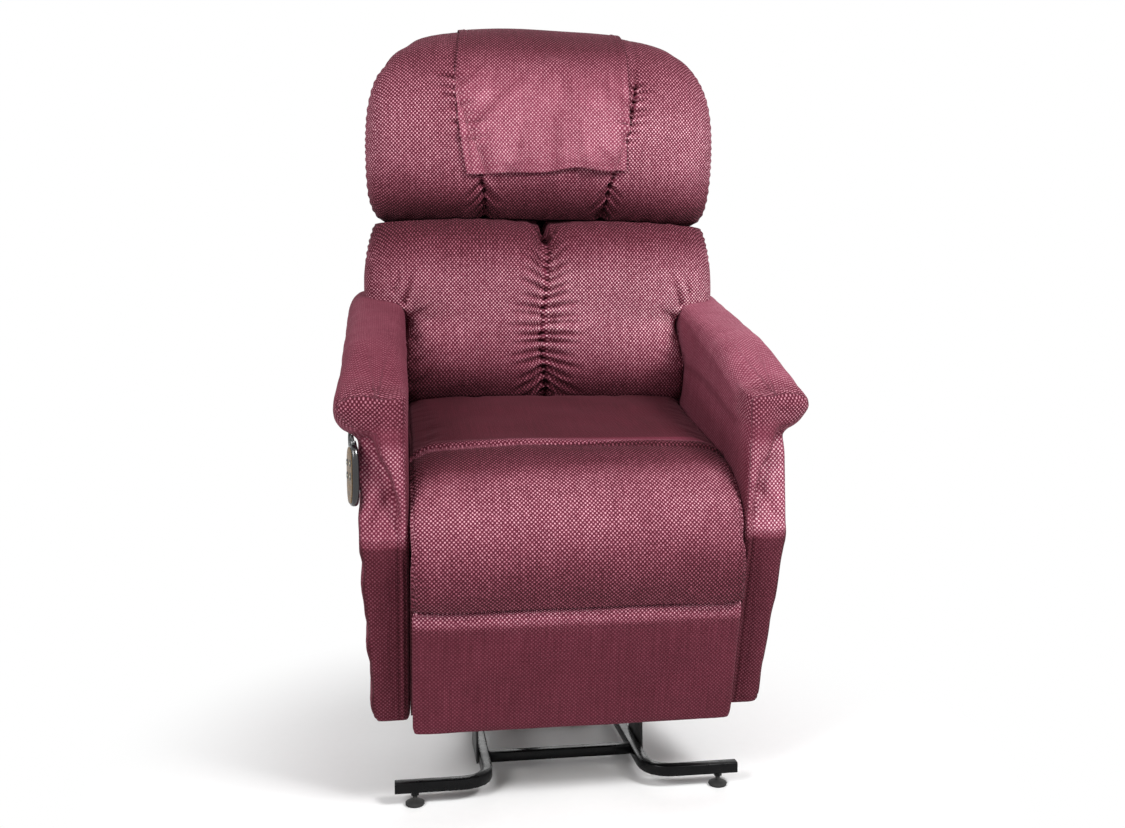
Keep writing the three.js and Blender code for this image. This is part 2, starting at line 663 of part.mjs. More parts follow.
add(base, 'lift_arm', liftArm(), BLACK_STEEL);

SIDES.forEach(([name, side]) => add(base, `follower_arm_${name}`, linkBar(
  FOLLOWER_BASE_PIVOT, followerChairPivotRisen, LINK_HALF_WIDTH, side * followerX[0], side * followerX[1],
  [[FOLLOWER_BASE_PIVOT, PIN_RADIUS + CLEAR], [followerChairPivotRisen, PIN_RADIUS + FOLLOWER_SLACK]]),
BLACK_STEEL));

// an actuator between two side view points: s runs from the motor pivot towards the rod pin
function actuatorAxis(from, to, x) {
  const start = new THREE.Vector3(x, from[0], from[1]);
  const along = new THREE.Vector3(0, to[0] - from[0], to[1] - from[1]).normalize();
  const length = Math.hypot(to[0] - from[0], to[1] - from[1]);
  const turn = new THREE.Quaternion().setFromUnitVectors(new THREE.Vector3(0, 1, 0), along);
  const place = new THREE.Matrix4().compose(start, turn, new THREE.Vector3(1, 1, 1));
  const round = (radius, s0, s1, steps = 16) => new THREE.CylinderGeometry(radius, radius, s1 - s0, steps)
    .translate(0, (s0 + s1) / 2, 0).applyMatrix4(place);
  return { place, round, length };
}

function actuatorHousing(from, to, x, outer, bore, end, eyeHole) {
  const { round, place } = actuatorAxis(from, to, x);
  const tube = round(outer, HOUSING_START, end);
  const neckEnd = HOUSING_START + 2 * WELD;
  const neck = new THREE.BoxGeometry(EYE_WIDTH, neckEnd, 1.6 * EYE_RADIUS)
    .translate(0, neckEnd / 2, 0).applyMatrix4(place);
  const eye = roundX(EYE_RADIUS, x - EYE_WIDTH / 2, x + EYE_WIDTH / 2, from);
  const gearbox = new THREE.BoxGeometry(2 * outer + PLATE, GEARBOX[1] - GEARBOX[0], 2 * outer)
    .translate(0, (GEARBOX[0] + GEARBOX[1]) / 2, 0).applyMatrix4(place);
  const beside = outer + MOTOR_CAN_RADIUS - PLATE / 2;
  const can = new THREE.CylinderGeometry(MOTOR_CAN_RADIUS, MOTOR_CAN_RADIUS, MOTOR_CAN_LENGTH, 16)
    .translate(beside, MOTOR_CAN_START + MOTOR_CAN_LENGTH / 2, 0).applyMatrix4(place);
  return cut(join(tube, neck, eye, gearbox, can), round(bore, HOUSING_BORE_START, end + WELD),
    roundX(eyeHole, x - EYE_WIDTH, x + EYE_WIDTH, from, 14));
}

function actuatorRod(from, to, x, radius, tail) {
  const { round, length } = actuatorAxis(from, to, x);
  const half = ROD_EYE_WIDTH / 2;
  const eye = roundX(EYE_RADIUS, x - half, x + half, to);
  return cut(join(round(radius, tail, length - EYE_RADIUS + 2 * WELD, 14), eye),
    roundX(ACTUATOR_PIN + CLEAR, x - half - WELD, x + half + WELD, to));
}

add(base, 'lift_motor', actuatorHousing(LIFT_MOTOR_PIVOT, leverPinRisen, LIFT_MOTOR_X,
  HOUSING_RADIUS, HOUSING_BORE, HOUSING_END, ACTUATOR_PIN + CLEAR), BLACK_PLASTIC);
add(base, 'lift_push_rod', actuatorRod(LIFT_MOTOR_PIVOT, leverPinRisen, LIFT_MOTOR_X,
  ROD_RADIUS, ROD_TAIL), BRIGHT_STEEL);

// ---------------------------------------------------------------- seat frame
const frameTop = FRAME_BOTTOM + FRAME_TUBE;
const frameMid = FRAME_BOTTOM + FRAME_TUBE / 2;
const railInner = SEAT_RAIL_X - FRAME_TUBE / 2;

const bracketHalf = FOOT_PLATE / 2;
const frontLinkX = [FOOT_BRACKET_X - bracketHalf, FOOT_BRACKET_X + bracketHalf];
const controlX = [frontLinkX[0] - LINK_GAP - FOOT_LINK, frontLinkX[0] - LINK_GAP];
const driveX = [frontLinkX[1] + LINK_GAP, frontLinkX[1] + LINK_GAP + FOOT_LINK];
const dragX = [driveX[1] + LINK_GAP, driveX[1] + LINK_GAP + FOOT_LINK];

function chairSidePlate(side) {
  const top = FRAME_BOTTOM - CLEAR;
  const [ay, az] = ARM_CHAIR_PIVOT;
  const [fy, fz] = FOLLOWER_CHAIR_PIVOT;
  const reach = SIDE_PLATE_REACH;
  const front = MID_TUBE_Y - FRAME_TUBE / 2;
  const outline = polygon([
    [front, top], [front, top - 1.6 * reach], [ay - 2 * reach, az - reach / 2], [ay - reach / 2, az - reach],
    [ay + reach / 2, az - reach], [fy + reach / 2, fz - reach], [fy + reach, fz - reach / 2],
    [fy + reach, top],
  ]);
  return join(sidePlate(outline, side * plateX[0], side * plateX[1]),
    headedPin(ARM_CHAIR_PIVOT, PIN_RADIUS, armX[0] - CLEAR, plateX[1] - WELD, 'inner', side),
    headedPin(FOLLOWER_CHAIR_PIVOT, PIN_RADIUS, plateX[0] + WELD, followerX[1] + CLEAR, 'outer', side));
}
SIDES.forEach(([name, side]) => add(seated, `chair_side_plate_${name}`, chairSidePlate(side), BLACK_STEEL));

// seat rail with the ear that carries the back hinge and the bracket that carries the footrest
const hingePoint = backPoint(...BACK_HINGE);
const hingeEarOuter = POST_X - POST_WIDTH / 2 - CLEAR - WELD;
const hingeEarX = [hingeEarOuter - PLATE, hingeEarOuter];

function backPoint(h, w) {
  const c = Math.cos(rad(BACK_LEAN));
  const s = Math.sin(rad(BACK_LEAN));
  return [BACK_ORIGIN[0] + s * h - c * w, BACK_ORIGIN[1] + c * h + s * w];
}

function seatRail(side) {
  const options = { depth: SEAT_RAIL_REAR - SEAT_RAIL_FRONT, bevelEnabled: false, curveSegments: 1 };
  const tube = new THREE.ExtrudeGeometry(tubeShape(FRAME_TUBE, TUBE_CORNER, TUBE_WALL), options)
    .rotateX(Math.PI / 2).translate(side * SEAT_RAIL_X, SEAT_RAIL_REAR, frameMid);
  const [hy, hz] = hingePoint;
  const r = HINGE_EAR;
  const ear = polygon([
    [hy - 3 * r, frameTop - WELD], [hy, frameTop - WELD], [hy + r - WELD, hz - r / 2],
    [hy + r - WELD, hz + r / 2], [hy + r / 2, hz + r], [hy - r / 2, hz + r], [hy - r, hz + r / 2],
  ]);
  const [dy, dz] = DRIVE_PIVOT;
  const [cy, cz] = CONTROL_PIVOT;
  const reach = FOOT_LINK_HALF + 2;
  const top = FRAME_BOTTOM + WELD;
  const bracket = drill(polygon([
    [dy - 2.3 * reach, top], [dy - 1.4 * reach, dz - reach / 2], [cy - reach, cz - reach / 2],
    [cy - reach / 2, cz - reach], [cy + reach / 2, cz - reach], [cy + reach, cz - reach / 2],
    [dy + 1.5 * reach, dz - reach / 2], [dy + 2.8 * reach, top],
  ]), DRIVE_PIVOT, DRIVE_TUBE_RADIUS + 2 * CLEAR);
  const armTab = (y) => {
    const reach = [SEAT_RAIL_X + FRAME_TUBE / 2 - WELD, ARM_INNER - CLEAR];
    const x = reach.map((v) => side * v).sort((a, b) => a - b);
    const inset = TUBE_WALL;
    return box(...x, y - ARM_TAB_HALF, y + ARM_TAB_HALF, FRAME_BOTTOM + inset, frameTop - inset);
  };
  return join(tube, ...ARM_TABS.map(armTab), sidePlate(ear, side * hingeEarX[0], side * hingeEarX[1]),
    sidePlate(bracket, side * frontLinkX[0], side * frontLinkX[1]),
    headedPin(hingePoint, HINGE_PIN, hingeEarX[0] + WELD, POST_X + POST_WIDTH / 2 - 4 * WELD, 'none', side),
    headedPin(CONTROL_PIVOT, FOOT_PIN, controlX[0] - CLEAR, frontLinkX[1] - WELD, 'inner', side));
}
SIDES.forEach(([name, side]) => add(seated, `seat_rail_${name}`, seatRail(side), BLACK_STEEL));

const crossHalf = railInner - CLEAR;
const crossTube = (y) => tubeX(FRAME_TUBE, TUBE_CORNER, TUBE_WALL, -crossHalf, crossHalf, y, frameMid);
add(seated, 'seat_front_tube', crossTube(FRONT_TUBE_Y), BLACK_STEEL);
add(seated, 'seat_mid_tube', crossTube(MID_TUBE_Y), BLACK_STEEL);

// rear tube with the clevis for the recline motor
function rearTube() {
  const [py, pz] = RECLINE_MOTOR_PIVOT;
  const inner = EYE_WIDTH / 2 + CLEAR;
  const lap = FRAME_TUBE / 3;
  const outline = () => polygon([
    [REAR_TUBE_Y - lap, FRAME_BOTTOM + TUBE_CORNER], [REAR_TUBE_Y + lap, FRAME_BOTTOM + TUBE_CORNER],
    [REAR_TUBE_Y + lap, FRAME_BOTTOM - FRAME_TUBE], [py + lap, pz - EYE_RADIUS],
    [py - EYE_RADIUS, pz - EYE_RADIUS / 2], [py - EYE_RADIUS, pz + EYE_RADIUS / 2],
    [py + lap, pz + EYE_RADIUS],
  ]);
  const ears = [-1, 1].map((side) => sidePlate(
    outline(), RECLINE_X + side * inner, RECLINE_X + side * (inner + PLATE)));
  const half = inner + PLATE + 2 * WELD;
  const pin = roundX(ACTUATOR_PIN, RECLINE_X - half, RECLINE_X + half, RECLINE_MOTOR_PIVOT, 14);
  return join(crossTube(REAR_TUBE_Y), ...ears, pin);
}
add(seated, 'seat_rear_tube', rearTube(), BLACK_STEEL);

// sinuous seat springs from the front tube to the rear tube, tied across by two wires
function seatSprings() {
  const z = frameTop + CLEAR + SPRING_WIRE;
  const bend = (REAR_TUBE_Y - FRONT_TUBE_Y) / SPRING_BENDS;
  const section = polygon([[SPRING_WIRE, 0], [0, SPRING_WIRE], [-SPRING_WIRE, 0], [0, -SPRING_WIRE]]);
  const springs = Array.from({ length: SPRING_COUNT }, (_, i) => {
    const x = (i - (SPRING_COUNT - 1) / 2) * SPRING_SPACING;
    const points = Array.from({ length: 2 * SPRING_BENDS + 1 }, (_, k) => new THREE.Vector3(
      x + SPRING_SWING * Math.sin((k * Math.PI) / 2), FRONT_TUBE_Y + (k * bend) / 2, z));
    const extrudePath = new THREE.CatmullRomCurve3(points);
    return new THREE.ExtrudeGeometry(section, { steps: 3 * SPRING_BENDS, extrudePath });
  });
  const tieHalf = ((SPRING_COUNT - 1) / 2) * SPRING_SPACING + SPRING_SWING;
  const ties = SPRING_TIES.map((y) => roundX(SPRING_WIRE, -tieHalf, tieHalf, [y, z], 6));
  return join(...springs, ...ties);
}
add(seated, 'seat_springs', seatSprings(), BRIGHT_STEEL);

// ---------------------------------------------------------------- footrest linkage
const footHoleRadius = FOOT_PIN + CLEAR;

// a cranked shaft: its tube stops at the two levers, and the push rod passes between them
function footrestDrive() {
  const bars = SIDES.map(([, side]) => {
    const bar = linkBar(DRIVE_PIVOT, KNEE, FOOT_LINK_HALF + 1, side * driveX[0], side * driveX[1], []);
    const ear = linkBar(KNEE, DRAG_REAR, FOOT_LINK_HALF - 2, side * driveX[0], side * driveX[1], []);
    const hole = roundX(footHoleRadius, side * (driveX[0] - WELD), side * (driveX[1] + WELD), KNEE, 14);
    return cut(join(bar, ear), hole);
  });
  const inner = ROD_EYE_WIDTH / 2 + 2 * CLEAR;
  const tubes = [-1, 1].map((side) => roundX(
    DRIVE_TUBE_RADIUS, side * (driveX[0] + WELD / 2), RECLINE_X + side * (inner + WELD), DRIVE_PIVOT));
  const levers = [-1, 1].map((side) => linkBar(DRIVE_PIVOT, RECLINE_LEVER_PIN, DRIVE_TUBE_RADIUS + CLEAR,
    RECLINE_X + side * inner, RECLINE_X + side * (inner + PLATE), []));
  const pinHalf = inner + PLATE + 2 * WELD;
  const leverPin = roundX(ACTUATOR_PIN, RECLINE_X - pinHalf, RECLINE_X + pinHalf, RECLINE_LEVER_PIN, 14);
  const studs = SIDES.map(([, side]) => roundX(
    FOOT_PIN, side * (driveX[0] + WELD), side * (dragX[1] + 2 * WELD), DRAG_REAR, 14));
  return join(...bars, ...tubes, ...levers, leverPin, ...studs);
}
add(seated, 'footrest_drive', footrestDrive(), BLACK_STEEL);

// front links carry their own knee pins; a tail behind the knee takes the control links
function footrestFrontLink(side) {
  const main = linkBar(KNEE, PANEL_PIVOT, FOOT_LINK_HALF, side * frontLinkX[0], side * frontLinkX[1],
    [[PANEL_PIVOT, footHoleRadius]]);
  const tail = linkBar(KNEE, CONTROL_TAIL, FOOT_LINK_HALF, side * frontLinkX[0], side * frontLinkX[1], []);
  const kneePin = roundX(FOOT_PIN, side * (frontLinkX[0] + WELD), side * driveX[1], KNEE, 14);
  const tailPin = roundX(
    FOOT_PIN, side * (controlX[0] - 2 * WELD), side * (frontLinkX[1] - WELD), CONTROL_TAIL, 14);
  return join(main, tail, kneePin, tailPin);
}

const controlHoles = [[CONTROL_PIVOT, footHoleRadius], [CONTROL_TAIL, footHoleRadius + CONTROL_SLACK]];
const dragHoles = [[DRAG_REAR, footHoleRadius], [DRAG_FRONT, footHoleRadius + DRAG_SLACK]];
SIDES.forEach(([name, side]) => {
  add(seated, `footrest_front_link_${name}`, footrestFrontLink(side), BLACK_STEEL);
  add(seated, `footrest_control_link_${name}`, linkBar(CONTROL_PIVOT, CONTROL_TAIL, FOOT_LINK_HALF - 1,
    side * controlX[0], side * controlX[1], controlHoles), BLACK_STEEL);
  add(seated, `footrest_drag_link_${name}`, linkBar(DRAG_REAR, DRAG_FRONT, FOOT_LINK_HALF - 2,
    side * dragX[0], side * dragX[1], dragHoles), BLACK_STEEL);
});

const panelFront = PANEL_REAR - PANEL_BOARD;
add(seated, 'footrest_board',
  box(-PANEL_HALF, PANEL_HALF, panelFront, PANEL_REAR, PANEL_LOW, PANEL_HIGH), BOARD);

function panelBracket(side) {
  const [py, pz] = PANEL_PIVOT;
  const [qy, qz] = DRAG_FRONT;
  const rear = PANEL_REAR + CLEAR;
  const low = pz - PANEL_BRACKET_LAP;
  const high = qz + PANEL_BRACKET_LAP;
  const reach = FOOT_LINK_HALF;
  const outline = polygon([
    [rear, low], [rear + PLATE, low], [py, pz - reach], [py + reach, pz - reach / 2], [py + reach, pz],
    [qy + reach, qz], [qy + reach / 2, qz + reach], [rear + PLATE, high], [rear, high],
  ]);
  const flangeX = [side * driveX[0], side * (driveX[0] + PANEL_FLANGE)].sort((a, b) => a - b);
  return join(sidePlate(outline, side * driveX[0], side * driveX[1]),
    box(...flangeX, rear, rear + PLATE - WELD, low, high),
    roundX(FOOT_PIN, side * (frontLinkX[0] - 3 * WELD), side * (driveX[1] - WELD), PANEL_PIVOT, 14),
    roundX(FOOT_PIN, side * (driveX[0] + WELD), side * (dragX[1] + 2 * WELD), DRAG_FRONT, 14));
}
SIDES.forEach(([name, side]) => add(
  seated, `footrest_panel_bracket_${name}`, panelBracket(side), BLACK_STEEL));

add(seated, 'recline_motor', actuatorHousing(RECLINE_MOTOR_PIVOT, RECLINE_LEVER_PIN, RECLINE_X,
  RECLINE_HOUSING_RADIUS, RECLINE_BORE, RECLINE_HOUSING_END, ACTUATOR_PIN + CLEAR), BLACK_PLASTIC);
add(seated, 'recline_push_rod', actuatorRod(RECLINE_MOTOR_PIVOT, RECLINE_LEVER_PIN, RECLINE_X,
  RECLINE_ROD_RADIUS, ROD_TAIL), BRIGHT_STEEL);

// ---------------------------------------------------------------- upholstery
function footrestPad() {
  const middle = (PANEL_LOW + PANEL_HIGH) / 2;
  const halfHeight = (PANEL_HIGH - PANEL_LOW) / 2 + 2 * WELD;
  const shell = panelFront - CLEAR;
  return cushion({
    columns: spread(11, 1.8),
    rows: spread(9, 1.8).map((t) => (t + 1) / 2),
    half: (v) => PANEL_PAD_HALF - PANEL_PAD_DRAW * Math.abs(2 * v - 1) ** 6,
    front: (u, v) => -PANEL_PAD_EDGE - (PANEL_PAD - PANEL_PAD_EDGE) * dome(u, 4) * dome(2 * v - 1, 4),
    back: () => 0,
    place: (x, v, depth) => new THREE.Vector3(x, shell + depth, middle + (2 * v - 1) * halfHeight),
  });
}
add(seated, 'footrest_pad', footrestPad(), PANEL_FABRIC);

// arm: an upholstered box whose front leans back above the break
function armBody(side) {
  const levels = [
    [ARM_BOTTOM, ARM_EDGE], [ARM_BOTTOM + ARM_EDGE, 0], [(ARM_BOTTOM + ARM_BREAK) / 2, 0], [ARM_BREAK, 0],
    [(ARM_BREAK + ARM_BODY_TOP) / 2, 0], [ARM_BODY_TOP - ARM_EDGE, 0], [ARM_BODY_TOP, ARM_EDGE / 2],
  ];
  const rings = levels.map(([z, inset]) => {
    const low = Math.min((z - ARM_BOTTOM) / (ARM_BREAK - ARM_BOTTOM), 1);
    const high = Math.max((z - ARM_BREAK) / (ARM_BODY_TOP - ARM_BREAK), 0);
    const outer = ARM_OUTER_BOTTOM + (ARM_OUTER - ARM_OUTER_BOTTOM) * low;
    const front = ARM_FRONT + (ARM_FRONT_TOP - ARM_FRONT) * high;
    return roundedRing(ARM_INNER + inset, outer - inset, front + inset, ARM_REAR - inset, 7, 28)
      .map(([x, y]) => new THREE.Vector3(side * x, y, z));
  });
  return loft(rings);
}

// arm pad: a crowned roll that flares outwards and overhangs at the front
function armPad(side) {
  const low = ARM_BODY_TOP + CLEAR;
  const stations = [0, 0.012, 0.035, 0.075, 0.14, 0.22, 0.34, 0.5, 0.7, 0.86, 0.95, 0.985, 1];
  const endRound = [0.55, 0.78, 0.92, 0.985, 1, 1, 1, 1, 1, 1, 0.985, 0.93, 0.78];
  const rings = stations.map((t, i) => {
    const y = ARM_TIP_Y + (ARM_REAR - ARM_TIP_Y) * t;
    const forward = 1 - smooth(t / 0.45);
    const inner = ARM_INNER - PAD_INNER_LAP;
    const flare = ARM_TIP_X - ARM_OUTER - PAD_OVERHANG + PAD_TIP_ROUND;
    const outer = ARM_OUTER + PAD_OVERHANG + flare * forward ** 1.6;
    const top = ARM_PAD_TOP - PAD_FRONT_DROP * forward ** 1.3;
    const bottom = low + PAD_FRONT_RISE * (1 - smooth(t / 0.06));
    const middle = [(inner + outer) / 2, (bottom + top) / 2];
    const half = [((outer - inner) / 2) * endRound[i], ((top - bottom) / 2) * endRound[i]];
    const [x0, x1, z0, z1] = middle.flatMap((centre, k) => [centre - half[k], centre + half[k]]);
    return roundedRing(x0, x1, z0, z1, 3, 22).map(([x, z]) => new THREE.Vector3(side * x, y, z));
  });
  return loft(rings);
}

SIDES.forEach(([name, side]) => {
  add(seated, `arm_${name}`, armBody(side), FABRIC);
  add(seated, `arm_pad_${name}`, armPad(side), FABRIC);
});

// seat cushion: one side view outline carried across the chair, drawn in at both ends,
// with the sewn seam across the top in front of its middle
function seatCushion() {
  const bottom = frameTop + 2 * CLEAR + 2 * SPRING_WIRE + CLEAR;
  const rearBend = SEAT_TOP - WELD;
  const outline = new THREE.Shape();
  outline.moveTo(SEAT_REAR - SEAT_CORNER, bottom);
  outline.quadraticCurveTo(SEAT_REAR, bottom, SEAT_REAR, bottom + SEAT_CORNER);
  outline.lineTo(SEAT_REAR, SEAT_TOP - SEAT_REAR_ROLL[1]);
  outline.quadraticCurveTo(SEAT_REAR, rearBend, SEAT_REAR - SEAT_REAR_ROLL[0], rearBend);
  outline.lineTo(SEAT_SEAM_Y + SEAT_SEAM_HALF, SEAT_TOP);
  outline.lineTo(SEAT_SEAM_Y, SEAT_TOP - SEAT_SEAM_DEPTH);
  outline.lineTo(SEAT_SEAM_Y - SEAT_SEAM_HALF, SEAT_TOP);
  outline.bezierCurveTo(...SEAT_NOSE_HANDLES[0], ...SEAT_NOSE_HANDLES[1], SEAT_FRONT, SEAT_NOSE_LOW);
  outline.quadraticCurveTo(
    SEAT_FRONT - WELD, SEAT_BOLSTER_BOTTOM, SEAT_FRONT + SEAT_NOSE_ROLL, SEAT_BOLSTER_BOTTOM);
  outline.lineTo(SEAT_BOLSTER_REAR - SEAT_CORNER, SEAT_BOLSTER_BOTTOM);
  outline.quadraticCurveTo(
    SEAT_BOLSTER_REAR, SEAT_BOLSTER_BOTTOM, SEAT_BOLSTER_REAR, SEAT_BOLSTER_BOTTOM + SEAT_CORNER);
  outline.lineTo(SEAT_BOLSTER_REAR, bottom);
  outline.closePath();
  const points = outline.getPoints(6);
  const core = [(SEAT_REAR + SEAT_FRONT) / 2, (bottom + SEAT_TOP) / 2];
  const rings = spread(13, 1.9).map((u) => {
    const swell = dome(u, 5);
    const grow = 1 - 0.05 * (1 - swell);
    return points.map(({ x: y, y: z }) => {
      const upper = smooth((z - bottom) / (5 * SEAT_CROWN));
      const crown = SEAT_CROWN * (swell - 0.5) * upper * smooth((SEAT_REAR - y) / (8 * SEAT_CROWN));
      const front = y < core[0] ? core[0] + (y - core[0]) * grow - 0.7 * crown : y;
      const drawn = z > core[1] ? core[1] + (z - core[1]) * grow : z;
      return new THREE.Vector3(u * SEAT_HALF, front, drawn + crown);
    });
  });
  return loft(rings, true);
}
add(seated, 'seat_cushion', seatCushion(), FABRIC);

const valanceFront = ARM_REAR + CLEAR;
add(seated, 'rear_valance', box(-VALANCE_HALF, VALANCE_HALF, valanceFront, valanceFront + VALANCE_THICK,
  VALANCE_BOTTOM, VALANCE_TOP), FABRIC);

// ---------------------------------------------------------------- back
function onBack(x, h, w) {
  const [y, z] = backPoint(h, w);
  return new THREE.Vector3(x, y, z);
}

function backBox(x0, x1, h0, h1, w0, w1) {
  const lean = rad(BACK_LEAN);
  const geometry = box(x0, x1, -w1, -w0, h0, h1);
  return geometry.rotateX(-lean).translate(0, BACK_ORIGIN[0], BACK_ORIGIN[1]);
}

const postFront = -CLEAR;
const postRear = postFront - POST_DEPTH;
function backPost(side) {
  const middleX = side * POST_X;
  const post = backBox(
    middleX - POST_WIDTH / 2, middleX + POST_WIDTH / 2, POST_BOTTOM, POST_TOP, postRear, postFront);
  const holeEnd = POST_X + POST_WIDTH / 2 - 3 * WELD;
  return cut(post, roundX(HINGE_PIN + CLEAR, side * (POST_X - POST_WIDTH), side * holeEnd, hingePoint, 14));
}
SIDES.forEach(([name, side]) => add(seated, `back_post_${name}`, backPost(side), BOARD));

const railHalf = POST_X - POST_WIDTH / 2 - CLEAR;
add(seated, 'back_top_rail', backBox(-railHalf, railHalf, ...BACK_TOP_RAIL, postRear, postFront), BOARD);
add(seated, 'back_lower_rail', backBox(-railHalf, railHalf, ...BACK_LOWER_RAIL, postRear, postFront), BOARD);

// rear panel: narrow between the arms, wide above them
function backPanel() {
  const top = BACK_PANEL_TOP;
  const rear = postRear - CLEAR - BACK_PANEL_THICK;
  const narrow = ARM_INNER - BACK_PANEL_SIDE_GAP;
  const [narrowTo, bend, wideFrom] = BACK_PANEL_STEP;
  const [cornerX, cornerH] = BACK_PANEL_CORNER;
  const shape = new THREE.Shape();
  shape.moveTo(-narrow, BACK_PANEL_LOW);
  shape.lineTo(narrow, BACK_PANEL_LOW);
  shape.lineTo(narrow, narrowTo);
  shape.quadraticCurveTo(narrow, bend, BACK_PANEL_HALF, wideFrom);
  shape.lineTo(BACK_PANEL_HALF, top - cornerH);
  shape.quadraticCurveTo(BACK_PANEL_HALF, top, BACK_PANEL_HALF - cornerX, top);
  shape.lineTo(-BACK_PANEL_HALF + cornerX, top);
  shape.quadraticCurveTo(-BACK_PANEL_HALF, top, -BACK_PANEL_HALF, top - cornerH);
  shape.lineTo(-BACK_PANEL_HALF, wideFrom);
  shape.quadraticCurveTo(-narrow, bend, -narrow, narrowTo);
  const geometry = new THREE.ExtrudeGeometry(
    shape, { depth: BACK_PANEL_THICK, bevelEnabled: false, curveSegments: 5 });
  return geometry.rotateX(Math.PI / 2 - rad(BACK_LEAN)).translate(0, ...backPoint(0, rear));
}
add(seated, 'back_outer_panel', backPanel(), FABRIC);

// lumbar cushion with its gathered centre seam
function lumbarCushion() {
  const length = LUMBAR_HIGH - LUMBAR_LOW;
  const half = (v) => {
    const h = LUMBAR_LOW + v * length;
    const wide = smooth((h - LUMBAR_STEP[0]) / (LUMBAR_STEP[1] - LUMBAR_STEP[0]));
    const shoulder = Math.max((v - 0.8) / 0.2, 0) ** 2 * 26;
    const toe = Math.max((0.06 - v) / 0.06, 0) ** 2 * 10;
    return LUMBAR_HALF_LOW + (LUMBAR_HALF_HIGH - LUMBAR_HALF_LOW) * wide - shoulder - toe;
  };
  return cushion({
    columns: spread(15, 1.7),
    rows: [0, 0.03, 0.09, 0.18, 0.3, 0.42, 0.52, 0.58, 0.64, 0.7, 0.76, 0.83, 0.9, 0.95, 0.985, 1],
    half,
    front: (u, v) => {
      const crown = dome(u, 3.4) * dome(2 * v - 1, 4);
      const seam = 20 * groove(u, 0.07) * dome(2 * v - 1, 6) + 10 * groove(u, 0.2) * dome(2 * v - 1, 6);
      const belowSeatTop = LUMBAR_DEPTH * (0.74 + 0.3 * smooth((v * length) / 50));
      const behindSeat = v > 0.2 ? belowSeatTop + LUMBAR_DEPTH : belowSeatTop;
      return Math.min(LUMBAR_DEPTH * 0.42 + (LUMBAR_DEPTH * 0.58 + 24) * crown, behindSeat) - seam;
    },
    back: () => 0,
    place: (x, v, w) => onBack(x, LUMBAR_LOW + v * length, w),
  });
}
add(seated, 'lumbar_cushion', lumbarCushion(), FABRIC);

// headrest cushion: two gathered seams divide it in three, and it rolls over the top of the back
const headSeams = [-0.34, 0.34];
const headLength = HEAD_HIGH - HEAD_LOW;
const headRows = [0, 0.03, 0.09, 0.18, 0.3, 0.42, 0.54, 0.66, 0.76, 0.85, 0.92, 0.965, 0.99, 1];
function headHalf(v) {
  const swell = Math.sin(Math.min(v / 0.5, 1) * (Math.PI / 2));
  const shoulder = v > 0.62 ? 1 - Math.sqrt(Math.max(1 - ((v - 0.62) / 0.38) ** 2, 0)) : 0;
  return HEAD_HALF_LOW + (HEAD_HALF - HEAD_HALF_LOW) * swell - HEAD_SHOULDER * shoulder;
}
function headCrown(u, v) {
  const crown = dome(u, 3.6) * dome(2 * v - 1, 3);
  return HEAD_DEPTH * 0.3 + (HEAD_DEPTH * 0.7 + 34) * crown - 50 * v ** 6;
}
function headFront(u, v) {
  const seams = headSeams.reduce((sum, s) => sum + groove(u - s * (0.75 + 0.25 * v), 0.06), 0);
  return headCrown(u, v) - 12 * seams * dome(2 * v - 1, 4);
}
add(seated, 'headrest_cushion', cushion({
  columns: spread(19, 1.6),
  rows: headRows,
  half: headHalf,
  front: headFront,
  back: (u, v) => -HEAD_REAR_ROLL * smooth((v - 0.86) / 0.1),
  place: (x, v, w) => onBack(x, HEAD_LOW + v * headLength, w),
}), FABRIC);

// cloth cover laid over the top of the headrest, with a wavy hem at the front
function headrestCover() {
  const hem = (COVER_HEM - HEAD_LOW) / headLength;
  const path = [hem, ...headRows.filter((v) => v > hem + 0.02)];
  const across = spread(13, 1);
  const positions = [];
  const skins = [COVER_GAP, COVER_GAP + COVER_THICK];
  skins.forEach((off) => {
    path.forEach((v) => across.forEach((u) => {
      const loose = 1 - smooth((v - hem) / 0.4);
      const fold = COVER_FOLD * Math.max(Math.sin(u * 7), 0) * loose;
      const wave = v === hem ? COVER_WAVE * Math.sin(u * 9 + 0.6) : 0;
      const x = u * COVER_HALF;
      const rise = off * smooth((v - 0.85) / 0.14);
      const h = HEAD_LOW + v * headLength + wave + rise;
      const p = onBack(x, h, headCrown(x / headHalf(v), v) + off + fold);
      positions.push(p.x, p.y, p.z);
    }));
    COVER_TAIL.forEach(([w, drop], k) => across.forEach((u) => {
      const p = onBack(u * COVER_HALF, HEAD_HIGH + drop + (k === 2 ? 0 : off), w - (k === 0 ? 0 : off));
      positions.push(p.x, p.y, p.z);
    }));
  });
  return twoSkins(positions, path.length + COVER_TAIL.length, across.length);
}
add(seated, 'headrest_cover', headrestCover(), FABRIC);

// ---------------------------------------------------------------- handset
const handset = new THREE.Group();
handset.position.set(...HANDSET_PLACE);
handset.rotation.set(-tilt, 0, rad(HANDSET_YAW));
seated.add(handset);

function roundedPanel(width, height, corner) {
  const steps = 4;
  const [a, b] = [width / 2 - corner, height / 2 - corner];
  const turns = Array.from({ length: steps + 1 }, (_, i) => i / steps);
  return polygon([[a, -b], [a, b], [-a, b], [-a, -b]].flatMap(([y, z], k) => turns.map((turn) => {
    const angle = ((k - 1 + turn) * Math.PI) / 2;
    return [y + corner * Math.cos(angle), z + corner * Math.sin(angle)];
  })));
}

const buttonPlaces = BUTTON_ROWS.flatMap((z, row) => [-1, 1].map(
  (side, column) => [`handset_button_${2 * row + column + 1}`, [side * BUTTON_OFFSET, z]]));
const faceBack = -HANDSET_DEPTH - CLEAR;
const faceFront = faceBack - FACEPLATE;

